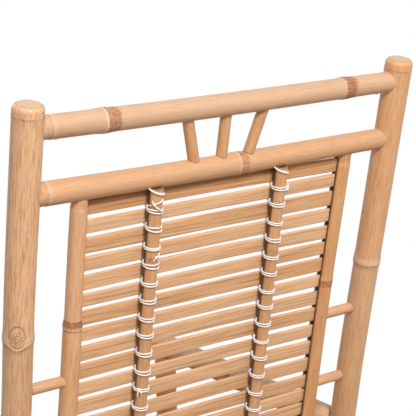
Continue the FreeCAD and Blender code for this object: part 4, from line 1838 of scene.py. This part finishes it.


# The first slat's deepest tone, 1.00, is partly painted shade under the shoulder rail.
BACK_SLATS = tuple(SlatForm(*row) for row in (
    (0.9, 20.2, -0.4, -1.6, 1.00), (1.8, 18.7, -1.05, 0.25, 0.32), (1.65, 22.0, -0.7, -0.65, 0.55),
    (2.1, 19.5, -0.5, -0.55, 0.46), (3.9, 20.3, -2.25, -2.8, 0.42), (3.15, 18.6, -0.3, -1.0, 0.45),
    (3.3, 21.1, 0.45, -1.05, 0.66), (3.9, 18.1, 1.35, -1.3, 0.38), (5.15, 21.6, -1.4, -3.95, 0.45),
    (4.45, 21.4, -1.05, -3.5, 0.60), (2.0, 19.1, 0.25, -2.7, 0.38), (1.2, 21.9, 0.35, -3.45, 0.45),
    (-2.35, 21.6, 0.0, -2.85, 0.50), (-5.15, 20.2, 0.0, -3.0, 0.58), (-4.0, 19.5, 0.0, -1.8, 0.35),
    (-3.0, 20.0, 0.0, -0.8, 0.52), (-2.0, 19.3, 0.2, -0.3, 0.44), (-1.0, 19.6, 0.0, 0.2, 0.62),
))


@dataclass
class SlatField:
    """A row of split slats, each a little different in place, width and tone."""

    name: str
    place: Matrix
    levels: list[float]
    length: float
    width: float
    thickness: float
    described: tuple[SlatForm, ...] = ()
    crown: float = 0.0003
    ease: float = 0.0009
    rows: int = 37
    flat: float = 0.03
    end_shares: Pair = (1.25, 1.2)
    cord: float = 0.0012
    cord_room: Pair = (0.0004, 0.0006)
    waves: tuple[Pair, ...] = ((0.00018, 9.0), (0.00010, 31.0))
    warp: float = 0.0003
    unit: float = 0.01
    # painted shadow of the shoulder rail on the first slat: strength, reach from its edge and fade
    # to the right
    stain_and_shadow: float = 0.0
    slat_shadow_reach: Pair = (0.002, 0.012)
    slat_shadow_fade: Pair = (-0.14, -0.07)

    def __post_init__(self) -> None:
        """Gives the slats that are not described a form of their own."""
        rng = random.Random(self.name)
        self.forms = list(self.described)
        for _ in range(len(self.forms), len(self.levels)):
            shift, left, right = (rng.uniform(-0.5, 0.5) for _ in range(3))
            width = self.width / MM + rng.uniform(-0.6, 0.4)
            self.forms.append(SlatForm(shift, width, left, right, rng.uniform(0.12, 0.80)))

    def middle(self, k: int, x: Values) -> Values:
        """Where the middle of a slat lies.

        Args:
            k: The slat's number.
            x: Places across.

        Returns:
            Its places along the row.
        """
        form, half = self.forms[k], self.length / 2.0
        right, left = self.end_shares
        places = (-half, -self.flat, self.flat, half)
        drops = (right * form.right, 0.0, 0.0, left * form.left)
        return self.levels[k] + MM * (form.shift + np.interp(x, places, drops))

    def gaps(self, x: float) -> list[float]:
        """Where a cord passes the slats.

        Args:
            x: The cord's place across.

        Returns:
            Places past the first slat, between all, and past the last.
        """
        way = 1.0 if self.levels[-1] > self.levels[0] else -1.0
        near = [float(self.middle(k, x)) - way * form.width * MM / 2.0
                for k, form in enumerate(self.forms)]
        far = [a + way * form.width * MM for a, form in zip(near, self.forms)]
        between = [(a + b) / 2.0 for a, b in zip(far, near[1:])]
        first, last = (way * (self.cord + room) for room in self.cord_room)
        return [near[0] - first, *between, far[-1] + last]

    def section(self, width: float) -> Grid:
        """The slat's section, turning the same way as its faces.

        Args:
            width: The slat's width.

        Returns:
            Points as places across the face and through the thickness.
        """
        half, deep, ease = width / 2.0, self.thickness / 2.0, self.ease
        points = []
        for along, through, start in ((1, 1, 0.0), (-1, 1, 90.0), (-1, -1, 180.0), (1, -1, 270.0)):
            for turn in (math.radians(start + step) for step in (0.0, 30.0, 60.0, 90.0)):
                points.append((along * (half - ease) + ease * math.cos(turn),
                               through * (deep - ease) + ease * math.sin(turn)))
            if along == through:
                crown = self.crown * (through < 0)
                points += [(share * half, through * (deep + crown * (1.0 - share**2)))
                           for share in (0.5 * through, 0.0, -0.5 * through)]
        return np.array(points)

    def grime(self, k: int, across: Grid, x: Grid) -> Grid:
        """Painted shadow of the shoulder rail along the first slat's outer edge, which fades to the
        right.
        """
        near = 1.0 - smooth(*self.slat_shadow_reach, across.max() - across)
        return (0.0 if k else self.stain_and_shadow) * near * smooth(*self.slat_shadow_fade, x)

    def build(self) -> None:
        """Builds every slat into one piece."""
        rng = random.Random(self.name)
        skin = Skin()
        x = np.linspace(-self.length / 2.0, self.length / 2.0, self.rows)[:, None]
        turn, spot = np.array(self.place.to_3x3()), np.array(self.place.translation)
        for k, form in enumerate(self.forms):
            shape = self.section(form.width * MM)
            wave, warp = rng.uniform(0.0, TURN), rng.uniform(-self.warp, self.warp)
            edge = sum(size * np.sin(fine * x + n * wave)
                       for n, (size, fine) in enumerate(self.waves, 1))
            z = self.middle(k, x) + shape[:, 0] * (1.0 + edge / self.unit)
            y = shape[:, 1] + warp * (2.0 * x / self.length) * shape[:, 0] / self.unit
            points = np.stack([np.broadcast_to(x, z.shape), y, z], axis=-1)
            shift = np.array([rng.uniform(-9.0, 9.0) for _ in range(3)])
            skin.add_tube(points @ turn.T + spot, {
                "tone": np.full(z.shape, form.tone),
                # painted shadow of the shoulder rail on the first slat
                "grime": self.grime(k, shape[:, 0], x),
                "grain": points + shift,
            })
        skin.piece(self.name + "_split", Finish.SLAT, self.name)


@dataclass
class BackPanel:
    """Stiles, stubs, slats, battens and lashings of the back."""

    layout: Layout
    stub_shares: Pair = (0.6293, 0.8362)
    batten_tuck: float = 0.005
    batten_cut: Pair = (-0.0003, 0.0)
    right_inset: float = 0.0034
    stile_shave: float = 0.0250
    stile_swell: float = 0.012
    # strength of the painted shadow under the shoulder rail
    top_shadow: float = 0.62

    def levels(self) -> list[float]:
        """Spreads the slats in an even row.

        Returns:
            Their middles up the posts, from the top down.
        """
        lay = self.layout
        top = lay.shoulder_z - lay.shoulder - lay.slat_margin
        foot = lay.lower_rail_z + lay.shoulder + lay.slat_margin
        return [top - step for step in lay.slat_steps(top - foot)]

    def build(self) -> None:
        """Builds the whole panel."""
        lay = self.layout
        self.build_stiles()
        self.build_stubs()
        length = lay.stile_spacing - 2.0 * lay.stile_bore
        slats = SlatField("back_slats", lay.back, self.levels(), length, lay.slat_width,
                          lay.back_slat, BACK_SLATS, stain_and_shadow=self.top_shadow)
        slats.build()
        self.build_battens(slats)

    def rails(self, x: float) -> tuple[Host, Host]:
        """The shoulder rail and the lower rail as hosts.

        Args:
            x: Place across.

        Returns:
            Both hosts, the shoulder rail first.
        """
        lay = self.layout
        upper = lay.rail_point(lay.shoulder_z, lay.shoulder_sag, x)
        lower = lay.in_back(x, 0.0, lay.lower_rail_z)
        return Host(upper, ACROSS, lay.shoulder), Host(lower, ACROSS, lay.shoulder)

    def stile_x(self, side: Side) -> float:
        """Where a stile's top stands across; the right one is set a little inward."""
        inset = self.right_inset if side is Side.RIGHT else 0.0
        return side.value * self.layout.stile_spacing / 2.0 + inset

    def build_stiles(self) -> None:
        """Builds the two slotted stiles."""
        lay, levels = self.layout, self.levels()
        first = lay.shoulder_z - levels[0] - lay.slat_width / 2.0
        last = lay.shoulder_z - levels[-1] + lay.slat_width / 2.0
        for side, taper, drop, kind, tone in (
                (Side.LEFT, (1.010, 1.125), 0.283, Knuckle.DARK, 0.45),
                (Side.RIGHT, (1.070, 1.120), 0.302, Knuckle.THIN, 0.75)):
            x = self.stile_x(side)
            top, foot = lay.in_back(x, 0.0, lay.shoulder_z), lay.in_back(x, 0.0, lay.lower_rail_z)
            place = drop - lay.shoulder_drop
            SlottedCulm(side.piece("back_stile"), top, foot, lay.stile, [Node(place, kind)],
                        *map(Coped, self.rails(x)), tone=tone, front=-side.value * ACROSS,
                        columns=84, bore=lay.stile_bore, slot=lay.back_slat / 2.0 + lay.slot_ease,
                        slot_from=first - lay.slot_margin, slot_to=last + lay.slot_margin,
                        level=(lay.shoulder_z, -1.0), taper=taper,
                        taper_at=(place - self.stile_swell, place + self.stile_swell),
                        shaved=self.stile_shave).build()

    def build_stubs(self) -> None:
        """Builds the four short sticks between posts and stiles."""
        lay = self.layout
        for side in Side:
            axis = SideFrame(lay, side).hosts["back_post"].axis
            post, stile = (SWAYS[side.piece(part)] for part in ("back_post", "back_stile"))
            for level, share in zip(("upper", "lower"), self.stub_shares):
                z = lay.crest_z * (1.0 - share)
                outer = lay.in_back(side.value * lay.half + post.at(z), 0.0, z)
                inner = lay.in_back(self.stile_x(side) + stile.at(z), 0.0, z)
                cuts = Coped(Host(outer, axis, lay.post)), Coped(Host(inner, axis, lay.stile))
                Culm(side.piece(level + "_stub"), outer, inner, lay.stick, [], *cuts, tone=0.30,
                     blush=0.3, finish=Finish.CANE, front=UP, columns=40).build()

    def build_battens(self, slats: SlatField) -> None:
        """Builds the two battens, which lean a little across, and winds their cords.

        Args:
            slats: The slats that the cords pass through.
        """
        lay = self.layout
        top_z = lay.shoulder_z - lay.shoulder + self.batten_tuck
        foot_z = lay.lower_rail_z + lay.shoulder - self.batten_tuck
        for side, top_x, foot_x, marks, spreads in (
                (Side.LEFT, 0.1135, 0.1005, (0.099, 0.395),
                 (2.0, 2.2, 3.0, 1.1, 3.0, 2.0, 2.3, 2.2, 2.1, 2.5, 2.7, 1.8)),
                (Side.RIGHT, -0.0930, -0.106, (0.127, 0.160, 0.330),
                 (1.6, 1.9, 2.0, 1.4, 2.2, 1.7, 2.0))):
            top = lay.in_back(top_x, lay.back_batten_y, top_z)
            foot = lay.in_back(foot_x, lay.back_batten_y, foot_z)
            hosts = self.rails(top_x)[0], self.rails(foot_x)[1]
            LashedCane(side.piece("back_batten"), top, foot, lay.back_batten,
                       [Node(mark, Knuckle.FAINT) for mark in marks],
                       *(Coped(host, *self.batten_cut) for host in hosts), tone=0.36,
                       finish=Finish.CANE, columns=56, front=REAR).build()
            Lashing(side.piece("back_lashing"), lay.back, slats.gaps(top_x),
                    ((top_x, top_z), (foot_x, foot_z)), lay.back_batten_y, lay.back_batten,
                    lay.back_slat, spreads, BACK_KNOTS[side]).build()


@dataclass
class SeatPanel:
    """Slats, battens and lashings of the seat."""

    layout: Layout
    batten_spacing: float = 0.230
    batten_knuckles: Pair = (0.12, 0.33)

    def room(self) -> Pair:
        """Finds the room between the posts.

        Returns:
            Where the slats start and end, from the front posts back.
        """
        lay = self.layout
        slant = lay.back_lean + lay.seat_tilt
        half = lay.seat_slat / 2.0
        first = lay.post + half * slope(lay.seat_tilt) + lay.slat_margin
        post = lay.post / math.cos(math.radians(slant))
        return first, lay.seat_depth(0.0) - post - half * slope(slant) - lay.slat_margin

    def build(self) -> None:
        """Builds the seat's slats, and the battens lashed under them."""
        lay = self.layout
        first, last = self.room()
        levels = [first + step for step in lay.slat_steps(last - first)]
        length = lay.post_spacing - 2.0 * lay.seat_rail_bore
        slats = SlatField("seat_slats", lay.seat, levels, length, lay.slat_width, lay.seat_slat)
        slats.build()
        drop = lay.seat_drop
        start, end = lay.seat_front(drop), lay.seat_depth(drop)
        for side in Side:
            x = side.value * self.batten_spacing / 2.0
            front, rear = lay.in_seat(x, drop, start), lay.in_seat(x, drop, end)
            LashedCane(side.piece("seat_batten"), front, rear, lay.seat_batten,
                       [Node(place, Knuckle.FAINT) for place in self.batten_knuckles],
                       *(Coped(Host(point, ACROSS, lay.seat_rail)) for point in (front, rear)),
                       tone=0.7, finish=Finish.CANE, front=-UP, columns=44).build()
            Lashing(side.piece("seat_lashing"), lay.seat, slats.gaps(x), ((x, start), (x, end)),
                    drop, lay.seat_batten, lay.seat_slat).build()


class Joinery:
    """The dowels and pins, whose solids are shown as they are."""

    def build(self) -> None:
        """Gives every dowel and pin its wood."""
        for name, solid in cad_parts.items():
            if name.endswith("_dowels") or name == "dowel_pins":
                solid.data.materials.clear()
                solid.data.materials.append(material_of(Finish.DOWEL))
                LOG.info("%s: turned wood", name)


@dataclass
class Studio:
    """Camera, world, floor and square soft lights.

    Each light has a name, a place, a side and a power in watts, and looks at the aim.
    """

    camera_at: Triple = (1.0379, 1.6768, 1.4196)
    right: Triple = (-0.81038, 0.58538, -0.02489)
    down: Triple = (0.15202, 0.16905, -0.97382)
    lens: float = 115.57
    sensor: float = 36.0
    view_reach: float = 100.0
    floor_reach: float = 9.0
    ambient: float = 0.13
    aim: Triple = (0.0, 0.05, 0.75)
    lights: tuple[tuple[str, Triple, float, float], ...] = (
        ("key", (0.8, 3.1, 3.60), 0.8, 147.0),
        ("left_fill", (2.9, 2.0, 2.2), 2.2, 17.0),
        ("right_fill", (-2.4, 2.5, 2.2), 2.2, 17.0),
        ("front_fill", (0.6, -3.4, 2.6), 2.6, 34.0),
        ("overhead", (0.0, 0.9, 3.6), 2.4, 5.0),
    )

    def build(self) -> None:
        """Sets up the whole studio."""
        self.set_camera()
        self.set_world()
        self.lay_floor()
        self.hang_lights()
        bpy.context.scene.view_settings.view_transform = "Standard"

    def set_camera(self) -> None:
        """Places the camera where the photograph was taken from."""
        lens = bpy.data.cameras.new("photo_view")
        lens.lens = self.lens
        lens.sensor_width = self.sensor
        lens.clip_end = self.view_reach
        camera = put("photo_view", lens)
        right, up = Vector(self.right).normalized(), -Vector(self.down).normalized()
        back = right.cross(up).normalized()
        turn = Matrix((right, back.cross(right), back)).transposed().to_4x4()
        camera.matrix_world = Matrix.Translation(self.camera_at) @ turn
        bpy.context.scene.camera = camera

    def hang_lights(self) -> None:
        """Hangs the soft lights."""
        for name, at, size, power in self.lights:
            lamp = bpy.data.lights.new(name, "AREA")
            lamp.shape, lamp.size, lamp.energy = "SQUARE", size, power
            made = put(name, lamp)
            made.location = at
            made.rotation_mode = "QUATERNION"
            made.rotation_quaternion = (Vector(self.aim) - Vector(at)).to_track_quat("-Z", "Y")

    def set_world(self) -> None:
        """White where the camera or a reflection looks, an even soft light otherwise."""
        world = bpy.data.worlds.new("white_studio")
        world.use_nodes = True
        bpy.context.scene.world = world
        b = Bench(world.node_tree)
        strength = self.ambient + b.seen() * (1.0 - self.ambient)
        lit = b.node("ShaderNodeBackground", None, {"Color": WHITE, "Strength": strength})
        b.node("ShaderNodeOutputWorld", None, {"Surface": b.wire(lit)})

    def lay_floor(self) -> None:
        """Lays a square floor that belongs to the stage."""
        mesh = bpy.data.meshes.new("pale_floor")
        square = ((-1.0, -1.0), (1.0, -1.0), (1.0, 1.0), (-1.0, 1.0))
        corners = [(self.floor_reach * x, self.floor_reach * y, 0.0) for x, y in square]
        mesh.from_pydata(corners, [], [(0, 1, 2, 3)])
        mesh.materials.append(PaleFloor().material())
        put("pale_floor", mesh)


def main() -> None:
    """Builds the chair from the ground up, then the studio."""
    logging.basicConfig(level=logging.INFO, format="%(name)s %(message)s")
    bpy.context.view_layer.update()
    layout = Layout()
    for assembly in (*(SideFrame(layout, side) for side in Side), CrossRails(layout),
                     BackPanel(layout), SeatPanel(layout), Joinery(), Studio()):
        assembly.build()


if __name__ == "__main__":
    main()
